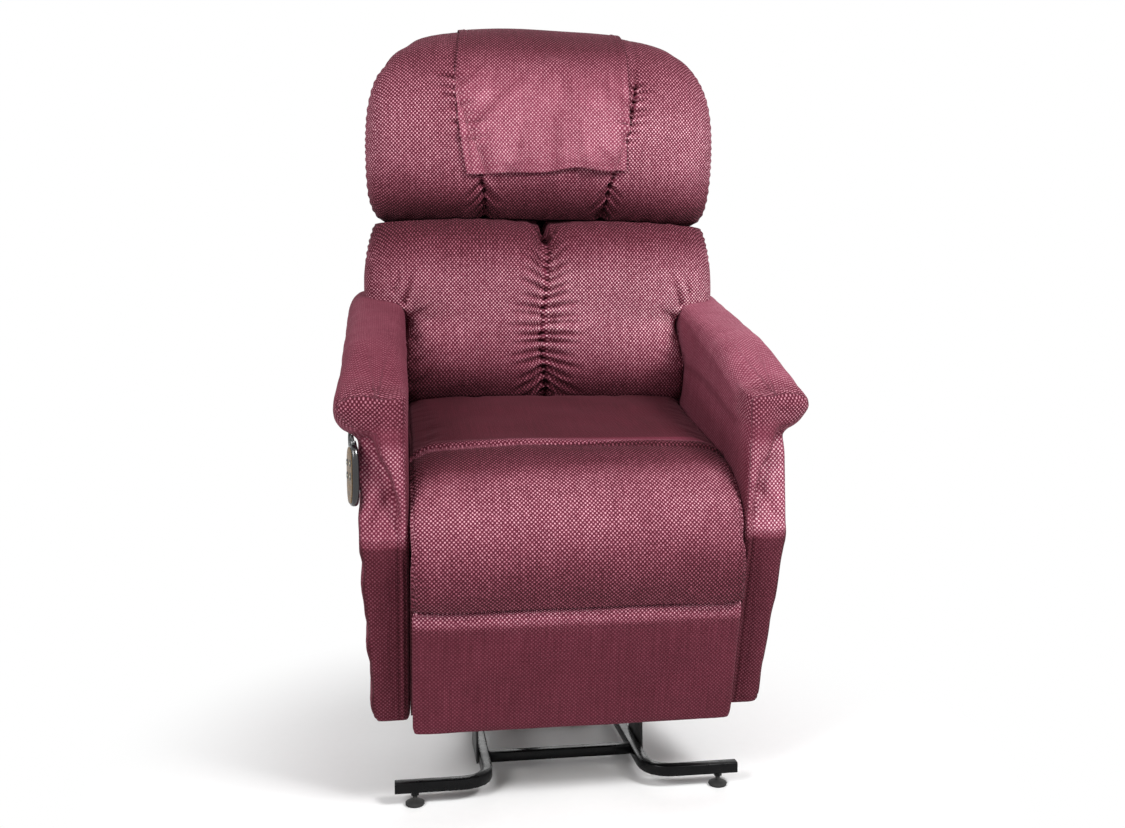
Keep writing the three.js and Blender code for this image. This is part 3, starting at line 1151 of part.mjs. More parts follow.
const housing = join(
  sidePlate(roundedPanel(HANDSET_WIDTH, HANDSET_HEIGHT, HANDSET_CORNER), -HANDSET_DEPTH, 0),
  roundZ(NECK_RADIUS, -HANDSET_DEPTH / 2, 0,
    HANDSET_HEIGHT / 2 - WELD, HANDSET_HEIGHT / 2 + NECK_LENGTH, 14));
add(handset, 'handset_housing', cut(housing, ...buttonPlaces.map(([, place]) => roundX(
  BUTTON_RADIUS + CLEAR, -HANDSET_DEPTH - WELD, -HANDSET_DEPTH + BUTTON_POCKET, place))), BLACK_PLASTIC);

const faceplate = roundedPanel(
  HANDSET_WIDTH - 2 * HANDSET_RIM, HANDSET_HEIGHT - 2 * HANDSET_RIM, HANDSET_CORNER - HANDSET_RIM);
buttonPlaces.forEach(([, place]) => drill(faceplate, place, BUTTON_RADIUS + CLEAR));
add(handset, 'handset_faceplate', sidePlate(faceplate, faceFront, faceBack), BRONZE);
buttonPlaces.forEach(([name, place]) => add(handset, name,
  roundX(BUTTON_RADIUS, faceFront - BUTTON_PROUD, -HANDSET_DEPTH + 2, place), BUTTON));

// wedge clip that holds the handset on the arm's outer side
function handsetHolder() {
  const yaw = rad(HANDSET_YAW);
  const [hx, hy, hz] = HANDSET_PLACE;
  const at = (side) => [
    hx + 2 * CLEAR - side * HOLDER_HALF * Math.sin(yaw), hy + side * HOLDER_HALF * Math.cos(yaw)];
  const shape = polygon([[-ARM_OUTER - CLEAR, at(-1)[1]], at(-1), at(1), [-ARM_OUTER - CLEAR, at(1)[1]]]);
  const geometry = new THREE.ExtrudeGeometry(shape, { depth: HOLDER_HEIGHT, bevelEnabled: false });
  return geometry.translate(0, 0, -HOLDER_HEIGHT / 2).applyMatrix4(
    new THREE.Matrix4().makeTranslation(0, hy, hz)
      .multiply(new THREE.Matrix4().makeRotationX(-tilt))
      .multiply(new THREE.Matrix4().makeTranslation(0, -hy, 0)));
}
add(seated, 'handset_holder', handsetHolder(), BLACK_PLASTIC);

// the handset's lead: over the top of the neck, down in a loop and up into the arm
const CORD_POINTS = [
  [-359.7, -274.3, 514.8], [-359.7, -272.9, 519.4], [-359.5, -269.2, 522.6], [-359, -263.9, 522.9],
  [-358.4, -259, 520.2], [-358, -255.4, 515.2], [-357.6, -252.4, 508], [-357, -248, 495], [-356, -242, 478],
  [-355, -233, 461], [-354.5, -221, 448], [-354.5, -207, 441], [-355, -193, 441.5], [-356, -180.5, 448],
  [-357, -171.5, 459], [-357.8, -166.5, 473], [-358, -164, 485], [-356.6, -163.2, 494.5],
  [-352.6, -163, 500.6], [-347, -163, 502],
];
function handsetCord() {
  const points = CORD_POINTS.map((p) => new THREE.Vector3(...p));
  const extrudePath = new THREE.CatmullRomCurve3(points, false, 'centripetal');
  const section = new THREE.Shape();
  section.absarc(0, 0, CORD_RADIUS, 0, 2 * Math.PI, false);
  return new THREE.ExtrudeGeometry(section, { steps: 36, extrudePath, curveSegments: 2 });
}
add(seated, 'handset_cord', handsetCord(), BLACK_PLASTIC);
const grommetFrom = -ARM_OUTER - CLEAR;
add(seated, 'cord_grommet',
  roundX(GROMMET_RADIUS, grommetFrom, grommetFrom - GROMMET_LENGTH, GROMMET, 20), RUBBER);

// ---------------------------------------------------------------- origin at the middle of the underside
chair.updateMatrixWorld(true);
const bounds = new THREE.Box3();
chair.traverse((piece) => {
  if (piece.isMesh && piece.name !== 'handset_cord') bounds.expandByObject(piece, true);
});
const middle = bounds.getCenter(new THREE.Vector3());
chair.position.set(-middle.x, -middle.y, -bounds.min.z);

export default chair;
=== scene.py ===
"""Finishes a power lift recliner chair: upholstery, steelwork, handset and its lead."""
import json
from itertools import product
from math import cos, pi, radians, sin

import bmesh
import bpy
import numpy as np
from mathutils import Matrix, Vector
from mathutils.bvhtree import BVHTree

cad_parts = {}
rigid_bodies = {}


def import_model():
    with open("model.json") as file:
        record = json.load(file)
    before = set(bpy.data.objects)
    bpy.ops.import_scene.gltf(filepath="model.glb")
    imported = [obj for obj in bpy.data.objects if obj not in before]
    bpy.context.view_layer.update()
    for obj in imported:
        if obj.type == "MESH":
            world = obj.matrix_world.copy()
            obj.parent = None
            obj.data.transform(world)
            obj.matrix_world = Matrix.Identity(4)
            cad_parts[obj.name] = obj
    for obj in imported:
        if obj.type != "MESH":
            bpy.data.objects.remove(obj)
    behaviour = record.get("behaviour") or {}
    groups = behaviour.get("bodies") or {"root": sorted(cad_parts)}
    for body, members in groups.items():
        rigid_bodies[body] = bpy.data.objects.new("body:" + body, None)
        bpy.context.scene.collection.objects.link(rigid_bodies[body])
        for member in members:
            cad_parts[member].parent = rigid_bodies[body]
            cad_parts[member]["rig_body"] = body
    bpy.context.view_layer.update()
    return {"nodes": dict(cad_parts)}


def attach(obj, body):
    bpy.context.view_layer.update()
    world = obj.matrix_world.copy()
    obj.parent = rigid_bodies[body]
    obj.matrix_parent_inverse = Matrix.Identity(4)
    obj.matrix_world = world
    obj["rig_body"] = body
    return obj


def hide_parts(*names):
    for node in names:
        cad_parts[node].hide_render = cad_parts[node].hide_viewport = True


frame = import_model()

# ---------------------------------------------------------------- sizes, millimetres
MM = 0.001
CHAIR_TILT = radians(15.997)       # the half-risen chair leans forward by this
CHAIR_SHIFT = (62.1515, 189.985)   # y, z of the level chair's origin once risen
BACK_LEAN = radians(12.2)
BACK_ORIGIN = (250, 465)

ARM_INNER = 266
ARM_OUTER = 342
ARM_OUTER_BOTTOM = 326
ARM_FRONT = -328
ARM_FRONT_TOP = -262
ARM_REAR = 284
ARM_BOTTOM = 46
ARM_BREAK = 369
ARM_BODY_TOP = 520
ARM_PAD_TOP = 628
ARM_TIP_Y = -284
ARM_ROLL_TOP = 590                 # the padded roll ends inside the pad at this height
PAD_OVERHANG = 30
PAD_FLARE = 9
PAD_FRONT_DROP = 36
PAD_POWER = 2.9
SEAT_HALF = 264.2
SEAT_TOP = 470
SEAT_PITCH = 13                    # the seat's top falls by this to its rear
SEAT_BOTTOM = 324.5
SEAT_REAR = 148
SEAT_FRONT = -374
SEAT_SEAM_Y = -192
SEAT_SEAM_SKEW = -0.043            # the seam runs slightly askew across the cushion
BOLSTER_BOTTOM = 274.5             # the fold above the footrest panel
BOLSTER_UNDER = 265                # the roll's underside, behind the panel
BOLSTER_LIP = -350
BOLSTER_REAR = -298
LUMBAR_LOW, LUMBAR_HIGH = -60, 297
LUMBAR_HALF_LOW, LUMBAR_HALF_HIGH = 264.2, 338
LUMBAR_STEP = (104, 134)
LUMBAR_DEPTH = 116
HEAD_LOW, HEAD_HIGH = 288, 652
HEAD_HALF = 334
HEAD_WIDEST = 425                  # height of the headrest's greatest width
HEAD_DEPTH = 112
COVER_HALF = 158
COVER_MIDDLE = -9                  # the cloth lies a little to the left
COVER_HEM = 379
COVER_ROLL = (584.0, 22.0)         # the middle of the roll that the cloth bends over: height, depth
COVER_TURN = 128                   # degrees it is followed round that roll
COVER_TAIL = (HEAD_HIGH - 104, -52.0)
COVER_THICK = 2.2
PANEL_LOW, PANEL_HIGH = 47, 272.5
PANEL_FRONT = -356.3
PANEL_HALF = 261.5
VALANCE_HALF = 300
VALANCE_LOW, VALANCE_TOP = 60, 366
VALANCE_FRONT = 284.3
LINING_X = (258.6, 264.7)
LINING_Y = (-326, 270)
LINING_Z = (58, 261)
WEAVE_CELL = (6.6, 6.8)            # one repeat of the waffle cloth: across, along
CUSHION_VOXEL, ARM_VOXEL, PANEL_VOXEL = 6.0, 5.5, 4.5
SEAT_SWELL, LUMBAR_SWELL, HEAD_SWELL = 7, 9, 8   # how far stuffing may push each cushion's cover
SIM_FRAMES = 20

# The camera, in metres and degrees
CAMERA_PLACE = (-0.2872, -2.0023, 0.7693)
CAMERA_DOWN, CAMERA_RIGHT = 4.01, 8.92
LENS, SENSOR = 34.53, 36

# How bright each cloth is painted, as painted light, shade and sheen: a distance over it in millimetres, and
# the painted gain there
SEAT_PAINTED_LIGHT = ([-300, -26, -18, -4, -1, 3, 25, 60, 95, 150, 200, 240, 280],
              [0.36, 0.36, 0.8, 0.9, 1.1, 0.32, 0.32, 0.5, 1.15, 1.4, 1.1, 0.7, 0.5])
LUMBAR_PAINTED_LIGHT = ([-60, -20, 10, 40, 110, 190, 232, 258, 285],
                [0.4, 0.46, 0.68, 1.05, 1.65, 1.62, 0.98, 0.58, 0.4])
HEAD_PAINTED_LIGHT = ([289, 318, 350, 395, 470, 540, 590, 640], [0.22, 0.35, 0.75, 1.3, 1.42, 1.05, 0.62, 0.38])
COVER_PAINTED_LIGHT = ([0, 40, 130, 175, 210, 235, 270], [1.6, 1.85, 1.85, 1.3, 0.76, 0.46, 0.36])

# ---------------------------------------------------------------- frames

TILT = cos(CHAIR_TILT), sin(CHAIR_TILT)
LEAN = cos(BACK_LEAN), sin(BACK_LEAN)


def risen(points):
    """World metres of points of the level chair (x, y, z)."""
    x, y, z = np.moveaxis(np.asarray(points, float), -1, 0)
    c, s = TILT
    return np.stack([x, c * y - s * z + CHAIR_SHIFT[0], s * y + c * z + CHAIR_SHIFT[1]], -1) * MM


def levelled(world):
    """Points of the level chair, in millimetres, from world metres."""
    x, y, z = np.moveaxis(np.asarray(world, float) / MM, -1, 0)
    c, s = TILT
    y, z = y - CHAIR_SHIFT[0], z - CHAIR_SHIFT[1]
    return np.stack([x, c * y + s * z, -s * y + c * z], -1)


def on_back(points):
    """Points of the level chair, from (x, height up the back, depth in front of it)."""
    x, h, w = np.moveaxis(np.asarray(points, float), -1, 0)
    c, s = LEAN
    return np.stack([x, BACK_ORIGIN[0] + s * h - c * w, BACK_ORIGIN[1] + c * h + s * w], -1)


def off_back(points):
    """(x, height up the back, depth in front of it), from points of the level chair."""
    x, y, z = np.moveaxis(points, -1, 0)
    c, s = LEAN
    y, z = y - BACK_ORIGIN[0], z - BACK_ORIGIN[1]
    return np.stack([x, s * y + c * z, -c * y + s * z], -1)


def smooth(t):
    t = np.clip(t, 0, 1)
    return t * t * (3 - 2 * t)


def dome(t, power):
    """1 in the middle, falling to 0 at t = -1 and 1; the higher the power, the flatter its top."""
    return np.maximum(1 - np.abs(t) ** power, 0) ** (1 / power)


def groove(distance, width):
    """1 on a line, fading to nothing within about two widths of it."""
    return np.exp(-((distance / width) ** 2))


def squared_circle(count, power, start=0.0):
    """Cosines and sines round a circle that the power squares off."""
    t = 2 * pi * (np.arange(count) + start) / count
    return [np.sign(v) * np.abs(v) ** (2 / power) for v in (np.cos(t), np.sin(t))]


def spread(count, edge):
    """Steps from -1 to 1 that get closer towards both ends."""
    t = np.linspace(-1, 1, count)
    return np.sign(t) * (1 - (1 - np.abs(t)) ** edge)


def bezier(points, count):
    """Points on one Bezier curve of any order, its last point left out."""
    p = np.asarray(points, float)
    t = np.linspace(0, 1, count, endpoint=False)[:, None]
    layers = [np.repeat(q[None], count, 0) for q in p]
    while len(layers) > 1:
        layers = [a * (1 - t) + b * t for a, b in zip(layers, layers[1:])]
    return layers[0]


def ripple(p, length, seed=0.0):
    """Soft, repeatable unevenness between -1 and 1 over points in space."""
    x, y, z = (p[..., i] * (2 * pi / length) for i in range(3))
    low = np.sin(x + 1.3 * seed) * np.cos(0.83 * y - seed) + np.sin(0.71 * z + 2.1 * seed + 0.6 * x)
    high = np.sin(2.1 * y + seed) * np.sin(1.9 * z - 0.7 * x + seed)
    return (low + 0.6 * high) / 2.6


# ---------------------------------------------------------------- materials


def paint(r, g, b):
    """A colour as the eye sees it, 0 to 255, in the renderer's linear values."""
    linear = [v / 255 / 12.92 if v <= 10 else ((v / 255 + 0.055) / 1.055) ** 2.4 for v in (r, g, b)]
    return (*linear, 1)


def node(tree, kind, *values, out=0, **settings):
    """Adds a shader node, sets its inputs in order and returns one of its outputs."""
    made = tree.nodes.new(kind)
    for name, value in settings.items():
        setattr(made, name, value)
    for socket, value in zip(made.inputs, values):
        if isinstance(value, bpy.types.NodeSocket):
            tree.links.new(value, socket)
        elif value is not None:
            socket.default_value = value
    return made.outputs[out]


def maths(tree, operation, *values):
    return node(tree, "ShaderNodeMath", *values, operation=operation)


def blended(tree, factor, a, b):
    mix = tree.nodes.new("ShaderNodeMix")
    mix.data_type = "RGBA"
    for index, value in ((0, factor), (6, a), (7, b)):
        if isinstance(value, bpy.types.NodeSocket):
            tree.links.new(value, mix.inputs[index])
        else:
            mix.inputs[index].default_value = value
    return mix.outputs[2]


def ranged(tree, value, low, high, to_low=0.0, to_high=1.0, kind="SMOOTHSTEP"):
    return node(tree, "ShaderNodeMapRange", value, low, high, to_low, to_high, interpolation_type=kind)


def noise(tree, scale, detail=2.0, roughness=0.5, squash=None):
    where = node(tree, "ShaderNodeTexCoord", out=3)
    if squash:
        where = node(tree, "ShaderNodeMapping", where, None, None, squash)
    return node(tree, "ShaderNodeTexNoise", where, None, scale, detail, roughness)


def finish(name, colour, roughness, bump=None, **constants):
    """A material: colour and roughness may be sockets made by a function of its tree."""
    material = bpy.data.materials.new(name)
    material.use_nodes = True
    tree = material.node_tree
    shader = tree.nodes["Principled BSDF"]
    for label, value in (("Base Color", colour), ("Roughness", roughness)):
        made = value(tree) if callable(value) else value
        if isinstance(made, bpy.types.NodeSocket):
            tree.links.new(made, shader.inputs[label])
        else:
            shader.inputs[label].default_value = made
    for label, value in constants.items():
        shader.inputs[label.replace("_", " ")].default_value = value
    if bump:
        height, strength, distance = bump(tree)
        lifted = node(tree, "ShaderNodeBump", strength, distance, None, height)
        tree.links.new(lifted, shader.inputs["Normal"])
    return material


def streaks(tree, uv, stretch):
    """Uneven yarns: noise drawn out along one way of the cloth."""
    where = node(tree, "ShaderNodeVectorMath", uv, stretch, operation="MULTIPLY")
    return node(tree, "ShaderNodeTexNoise", where, None, 1.0, 3.0, 0.65)


def waffle_cloth(name, dark, middle, bright):
    """Chenille cloth with staggered raised dots; 'dots' varies the weave over each piece, and a second
    attribute is a gain on its colour that paints light, shade and sheen onto it.
    """
    made = {}

    def weave(tree):
        uv = node(tree, "ShaderNodeUVMap", uv_map="weave")
        place = node(tree, "ShaderNodeTexCoord", out=3)
        drift = node(tree, "ShaderNodeTexNoise", place, None, 55.0, 2.0, out=1)
        drift = node(tree, "ShaderNodeVectorMath", drift, (0.5, 0.5, 0.5), operation="SUBTRACT")
        drift = node(tree, "ShaderNodeVectorMath", drift, (0.0022, 0.0022, 0.0), operation="MULTIPLY")
        uv = node(tree, "ShaderNodeVectorMath", uv, drift, operation="ADD")
        split = node(tree, "ShaderNodeSeparateXYZ", uv).node.outputs
        turns = [maths(tree, "MULTIPLY", split[i], 2 * pi / (WEAVE_CELL[i] * MM)) for i in range(2)]
        waves = [maths(tree, "SINE", turn) for turn in turns]
        made["dot"] = ranged(tree, maths(tree, "MULTIPLY", *waves), -0.35, 0.8)
        cell = [maths(tree, "FLOOR", maths(tree, "DIVIDE", turn, pi)) for turn in turns]
        chance = node(tree, "ShaderNodeTexWhiteNoise", node(tree, "ShaderNodeCombineXYZ", *cell),
                      noise_dimensions="3D")
        made["dots"] = node(tree, "ShaderNodeAttribute", attribute_name="dots", out=2)
        painted_light = node(tree, "ShaderNodeAttribute", attribute_name="painted_light", out=2)
        made["yarn"] = noise(tree, 900.0, 3.0, 0.7)
        slub = streaks(tree, uv, (430.0, 9.0, 1.0))
        cross = streaks(tree, uv, (14.0, 520.0, 1.0))
        blotch = noise(tree, 11.0, 3.0, 0.55)
        level = maths(tree, "ADD", made["dot"], maths(tree, "MULTIPLY_ADD", chance, 0.3, -0.15))
        dotted = node(tree, "ShaderNodeValToRGB", level)
        stops = dotted.node.color_ramp.elements
        stops[0].color, stops[0].position, stops[1].color = dark, 0.08, bright
        stops.new(0.55).color = middle
        yarn = maths(tree, "MULTIPLY_ADD", made["yarn"], 1.1, -0.2)
        plain = blended(tree, maths(tree, "MULTIPLY_ADD", made["dot"], 0.3, yarn), dark, middle)
        cloth = blended(tree, made["dots"], plain, dotted)
        uneven = 1.0
        for pattern, strength in ((blotch, 0.5), (slub, 1.0), (cross, 0.55)):
            uneven = maths(tree, "MULTIPLY_ADD", maths(tree, "SUBTRACT", pattern, 0.5), strength, uneven)
        # Painted light and shade: the per-point gain, times the cloth's own blotches and slubs, multiplies
        # the colour; green and blue follow it more steeply, so painted shade turns redder and painted
        # highlights paler.
        gain = maths(tree, "MULTIPLY", painted_light, uneven)
        painted_light_per_channel = [gain, maths(tree, "POWER", gain, 1.6), maths(tree, "POWER", gain, 1.38)]
        depth = node(tree, "ShaderNodeCombineXYZ", *painted_light_per_channel)
        return node(tree, "ShaderNodeVectorMath", cloth, depth, operation="MULTIPLY")

    def fuzz(tree):
        return ranged(tree, made["dot"], 0.0, 1.0, 0.95, 0.8)

    def relief(tree):
        tall = maths(tree, "MULTIPLY", made["dot"], maths(tree, "MULTIPLY_ADD", made["dots"], 0.8, 0.2))
        return maths(tree, "MULTIPLY_ADD", made["yarn"], 0.22, tall), 0.75, 0.0016

    return finish(name, weave, fuzz, relief, Sheen_Weight=0.1, Sheen_Roughness=0.4,
                  Sheen_Tint=paint(214, 128, 150), Specular_IOR_Level=0.25)


def flecked(first, second, scale, squash):
    def colour(tree):
        return blended(tree, ranged(tree, noise(tree, scale, 4.0, 0.6, squash), 0.35, 0.65), first, second)

    return colour


def worn(low, high, scale, squash=None):
    return lambda tree: ranged(tree, noise(tree, scale, 4.0, 0.6, squash), 0.3, 0.7, low, high)


def grained(scale, strength, distance, squash=None):
    return lambda tree: (noise(tree, scale, 2.0, 0.5, squash), strength, distance)


def surface(name, first, second, scale, rough, grain=None, squash=None, **constants):
    """A finish in flecks of two near colours, with what worn() and grained() take as tuples."""
    return finish(name, flecked(paint(*first), paint(*second), scale, squash), worn(*rough),
                  grained(*grain) if grain else None, **constants)


def plywood_colour(tree):
    layers = node(tree, "ShaderNodeTexWave", node(tree, "ShaderNodeTexCoord", out=3), 95.0, 2.5, 2.0,
                  bands_direction="Y")
    grain = noise(tree, 1.0, 4.0, 0.6, squash=(12.0, 160.0, 160.0))
    wood = blended(tree, grain, paint(150, 112, 70), paint(206, 170, 122))
    return blended(tree, maths(tree, "MULTIPLY", layers, 0.35), wood, paint(104, 72, 44))


WINE = waffle_cloth("wine_waffle_cloth", paint(78, 20, 37), paint(127, 56, 74), paint(182, 122, 136))
# A darker copy of the wine cloth: painted shade for the rear panel, the valance and the lining inside the
# arms.
WINE_SHADED = waffle_cloth("wine_cloth_painted_shade", paint(62, 16, 29), paint(104, 45, 58), paint(154, 98, 108))
POWDER_BLACK = surface("black_powder_coat", (5, 5, 6), (11, 11, 12), 30.0, (0.22, 0.34, 22.0),
                       (700.0, 0.08, 0.0003), Specular_IOR_Level=0.12)
BLACK_STEEL = surface("satin_black_steel", (22, 22, 24), (38, 37, 37), 18.0, (0.38, 0.58, 14.0),
                      (500.0, 0.15, 0.0004), Metallic=0.35)
BRIGHT_STEEL = surface("plated_steel", (176, 178, 182), (214, 215, 218), 40.0,
                       (0.18, 0.36, 60.0, (1.0, 1.0, 8.0)), (900.0, 0.06, 0.0002), Metallic=1.0)
RUBBER = surface("black_rubber", (20, 20, 20), (36, 35, 34), 45.0, (0.62, 0.85, 30.0), (1100.0, 0.3, 0.0003))
BLACK_PLASTIC = surface("textured_black_plastic", (19, 19, 20), (30, 30, 31), 25.0, (0.36, 0.52, 40.0),
                        (1600.0, 0.3, 0.0003), Specular_IOR_Level=0.55)
GLOSS_PLASTIC = surface("gloss_black_plastic", (12, 12, 14), (18, 18, 20), 25.0, (0.14, 0.26, 30.0),
                        (900.0, 0.05, 0.0002), Coat_Weight=0.5, Coat_Roughness=0.1)
BRONZE = surface("bronze_film", (70, 48, 16), (108, 80, 34), 60.0, (0.32, 0.46, 80.0),
                 (1400.0, 0.12, 0.0002, (1.0, 1.0, 12.0)), squash=(1.0, 1.0, 9.0), Metallic=0.15)
BUTTON_PLASTIC = surface("button_plastic", (16, 16, 17), (26, 26, 27), 90.0, (0.35, 0.5, 60.0),
                         (2000.0, 0.15, 0.0002))
PALE_PRINT = surface("pale_print", (206, 202, 178), (232, 228, 206), 300.0, (0.45, 0.6, 200.0))
THREAD = surface("wine_thread", (92, 26, 46), (138, 60, 80), 500.0, (0.6, 0.8, 300.0), (3000.0, 0.4, 0.0003))
PIPING_CLOTH = surface("wine_piping", (70, 20, 34), (112, 48, 62), 420.0, (0.75, 0.92, 60.0),
                       (2400.0, 0.5, 0.0004))
PLYWOOD = finish("plywood", plywood_colour, worn(0.6, 0.8, 50.0),
                 grained(300.0, 0.25, 0.0005, (1.0, 8.0, 8.0)))

FINISHES = {
    "black_tube": POWDER_BLACK, "black_steel": BLACK_STEEL, "bright_steel": BRIGHT_STEEL, "rubber": RUBBER,
    "black_plastic": BLACK_PLASTIC, "bronze_plastic": BRONZE, "button_plastic": BUTTON_PLASTIC,
    "board": PLYWOOD, "wine_fabric": WINE, "panel_fabric": WINE,
}

# ---------------------------------------------------------------- mesh tools


def placed(name, data):
    """A new object of this data, in the scene."""
    made = bpy.data.objects.new(name, data)
    bpy.context.scene.collection.objects.link(made)
    return made


def piece_from(name, points, faces, material):
    mesh = bpy.data.meshes.new(name)
    mesh.from_pydata(np.asarray(points, float).reshape(-1, 3).tolist(), [], [tuple(f) for f in faces])
    mesh.update()
    mesh.materials.append(material)
    return placed(name, mesh)


def facing_out(piece):
    shape = bmesh.new()
    shape.from_mesh(piece.data)
    bmesh.ops.remove_doubles(shape, verts=shape.verts, dist=1e-6)
    bmesh.ops.recalc_face_normals(shape, faces=shape.faces)
    shape.to_mesh(piece.data)
    shape.free()
    return piece


def settled(piece):
    """Applies the modifiers and leaves a plain mesh."""
    graph = bpy.context.evaluated_depsgraph_get()
    mesh = bpy.data.meshes.new_from_object(piece.evaluated_get(graph))
    old = piece.data
    piece.modifiers.clear()
    piece.data = mesh
    bpy.data.meshes.remove(old)
    return piece


def modified(piece, kind, **settings):
    modifier = piece.modifiers.new("shaping", kind)
    for name, value in settings.items():
        setattr(modifier, name, value)
    return settled(piece)


def shade_smooth(piece, angle=None):
    piece.data.polygons.foreach_set("use_smooth", [True] * len(piece.data.polygons))
    if angle:
        piece.data.set_sharp_from_angle(angle=radians(angle))
    return piece


def vectors(items, field):
    values = np.zeros(len(items) * 3, np.float32)
    items.foreach_get(field, values)
    return values.reshape(-1, 3).astype(float)


def points_of(piece):
    return vectors(piece.data.vertices, "co")


def normals_of(piece):
    return vectors(piece.data.vertex_normals, "vector")


def chair_points(piece):
    return levelled(points_of(piece))


def back_points(piece):
    return off_back(chair_points(piece))


def move_points(piece, points):
    piece.data.vertices.foreach_set("co", np.asarray(points, np.float32).ravel())
    piece.data.update()


def grid_faces(rows, columns, first=0, wrap=False):
    i, j = np.meshgrid(np.arange(rows - 1), np.arange(columns if wrap else columns - 1), indexing="ij")
    a = first + i * columns + j
    b = first + i * columns + (j + 1) % columns
    return np.stack([a, b, b + columns, a + columns], -1).reshape(-1, 4).tolist()


def loft(name, rings, material):
    """A closed skin through rings of points, with a fan over each end."""
    rings = np.asarray(rings, float)
    rows, count = rings.shape[:2]
    points = np.concatenate([rings.reshape(-1, 3), rings[0].mean(0)[None], rings[-1].mean(0)[None]])
    faces = grid_faces(rows, count, wrap=True)
    for end, hub in ((0, rows * count), ((rows - 1) * count, rows * count + 1)):
        faces += [(hub, end + j, end + (j + 1) % count) for j in range(count)]
    return facing_out(piece_from(name, points, faces, material))


def two_skins(name, front, back, material):
    """A closed piece between two grids of points with the same outline."""
    rows, columns = front.shape[:2]
    under = rows * columns
    faces = grid_faces(rows, columns) + grid_faces(rows, columns, under)
    rim = [*range(columns)]
    rim += [i * columns + columns - 1 for i in range(1, rows)]
    rim += [(rows - 1) * columns + j for j in range(columns - 2, -1, -1)]
    rim += [i * columns for i in range(rows - 2, 0, -1)]
    faces += [(a, b, b + under, a + under) for a, b in zip(rim, rim[1:] + rim[:1])]
    points = np.concatenate([front.reshape(-1, 3), back.reshape(-1, 3)])
    return facing_out(piece_from(name, points, faces, material))


def two_sided(values):
    """Values on a grid of points, for each of a piece's two skins in turn."""
    return np.concatenate([values.reshape(-1, *values.shape[2:])] * 2)


def joined(name, *pieces):
    """One object holding the meshes of several."""
    shape = bmesh.new()
    for piece in pieces:
        shape.from_mesh(piece.data)
    material = pieces[0].data.materials[0]
    for piece in pieces:
        bpy.data.objects.remove(piece)
    mesh = bpy.data.meshes.new(name)
    shape.to_mesh(mesh)
    shape.free()
    mesh.materials.append(material)
    return placed(name, mesh)


def step(tree, kind, out=0, settings=(), **inputs):
    """Adds a geometry node, fills its named inputs and returns one of its outputs."""
    made = tree.nodes.new(kind)
    for name, value in settings:
        setattr(made, name, value)
    for label, value in inputs.items():
        socket = made.inputs[label.replace("_", " ")]
        if isinstance(value, bpy.types.NodeSocket):
            tree.links.new(value, socket)
        else:
            socket.default_value = value
    return made.outputs[out]


def node_form(name, sizes, build):
    """A geometry node group: a path or points and named sizes in, one plain mesh out."""
    tree = bpy.data.node_groups.new(name, "GeometryNodeTree")
    tree.interface.new_socket("Path", in_out="INPUT", socket_type="NodeSocketGeometry")
    for label in sizes:
        tree.interface.new_socket(label, in_out="INPUT", socket_type="NodeSocketFloat")
    tree.interface.new_socket("Finish", in_out="INPUT", socket_type="NodeSocketMaterial")
    tree.interface.new_socket("Mesh", in_out="OUTPUT", socket_type="NodeSocketGeometry")
    given = tree.nodes.new("NodeGroupInput").outputs
    real = step(tree, "GeometryNodeRealizeInstances", Geometry=build(tree, given))
    finished = step(tree, "GeometryNodeSetMaterial", Geometry=real, Material=given["Finish"])
    tree.links.new(finished, tree.nodes.new("NodeGroupOutput").inputs[0])
    return tree


def stitch_row(tree, given):
    line = step(tree, "GeometryNodeMeshToCurve", Mesh=given["Path"])
    even = step(tree, "GeometryNodeResampleCurve", settings=[("mode", "LENGTH")], Curve=line,
                Length=given["Spacing"])
    bead = step(tree, "GeometryNodeMeshUVSphere", Segments=8, Rings=6, Radius=given["Radius"])
    size = step(tree, "ShaderNodeCombineXYZ", X=1.0, Y=1.0, Z=given["Stretch"])
    bead = step(tree, "GeometryNodeTransform", Geometry=bead, Scale=size)
    bead = step(tree, "GeometryNodeSetShadeSmooth", Geometry=bead)
    way = step(tree, "GeometryNodeInputTangent")
    turn = step(tree, "FunctionNodeAlignRotationToVector", settings=[("axis", "Z")], Vector=way)
    return step(tree, "GeometryNodeInstanceOnPoints", Points=even, Instance=bead, Rotation=turn)


def piping_tube(tree, given):
    line = step(tree, "GeometryNodeMeshToCurve", Mesh=given["Path"])
    ring = step(tree, "GeometryNodeCurvePrimitiveCircle", Resolution=12, Radius=given["Radius"])
    tube = step(tree, "GeometryNodeCurveToMesh", Curve=line, Profile_Curve=ring, Fill_Caps=True)
    return step(tree, "GeometryNodeSetShadeSmooth", Geometry=tube)


def bolt_set(tree, given):
    head = step(tree, "GeometryNodeMeshCylinder", Vertices=6, Radius=given["Radius"], Depth=given["Height"])
    lift = step(tree, "ShaderNodeCombineXYZ", Z=maths(tree, "MULTIPLY", given["Height"], 0.5))
    head = step(tree, "GeometryNodeTransform", Geometry=head, Translation=lift)
    wide = maths(tree, "MULTIPLY", given["Radius"], 1.4)
    washer = step(tree, "GeometryNodeMeshCylinder", Vertices=24, Radius=wide, Depth=0.0012)
    both = tree.nodes.new("GeometryNodeJoinGeometry")
    for part in (head, washer):
        tree.links.new(part, both.inputs[0])
    way = step(tree, "GeometryNodeInputNamedAttribute", settings=[("data_type", "FLOAT_VECTOR")],
               Name="facing")
    turn = step(tree, "FunctionNodeAlignRotationToVector", settings=[("axis", "Z")], Vector=way)
    return step(tree, "GeometryNodeInstanceOnPoints", Points=given["Path"], Instance=both.outputs[0],
                Rotation=turn)


STITCHES = node_form("stitch_row", ("Spacing", "Radius", "Stretch"), stitch_row)
PIPING = node_form("piping_tube", ("Radius",), piping_tube)
BOLTS = node_form("bolt_set", ("Radius", "Height"), bolt_set)


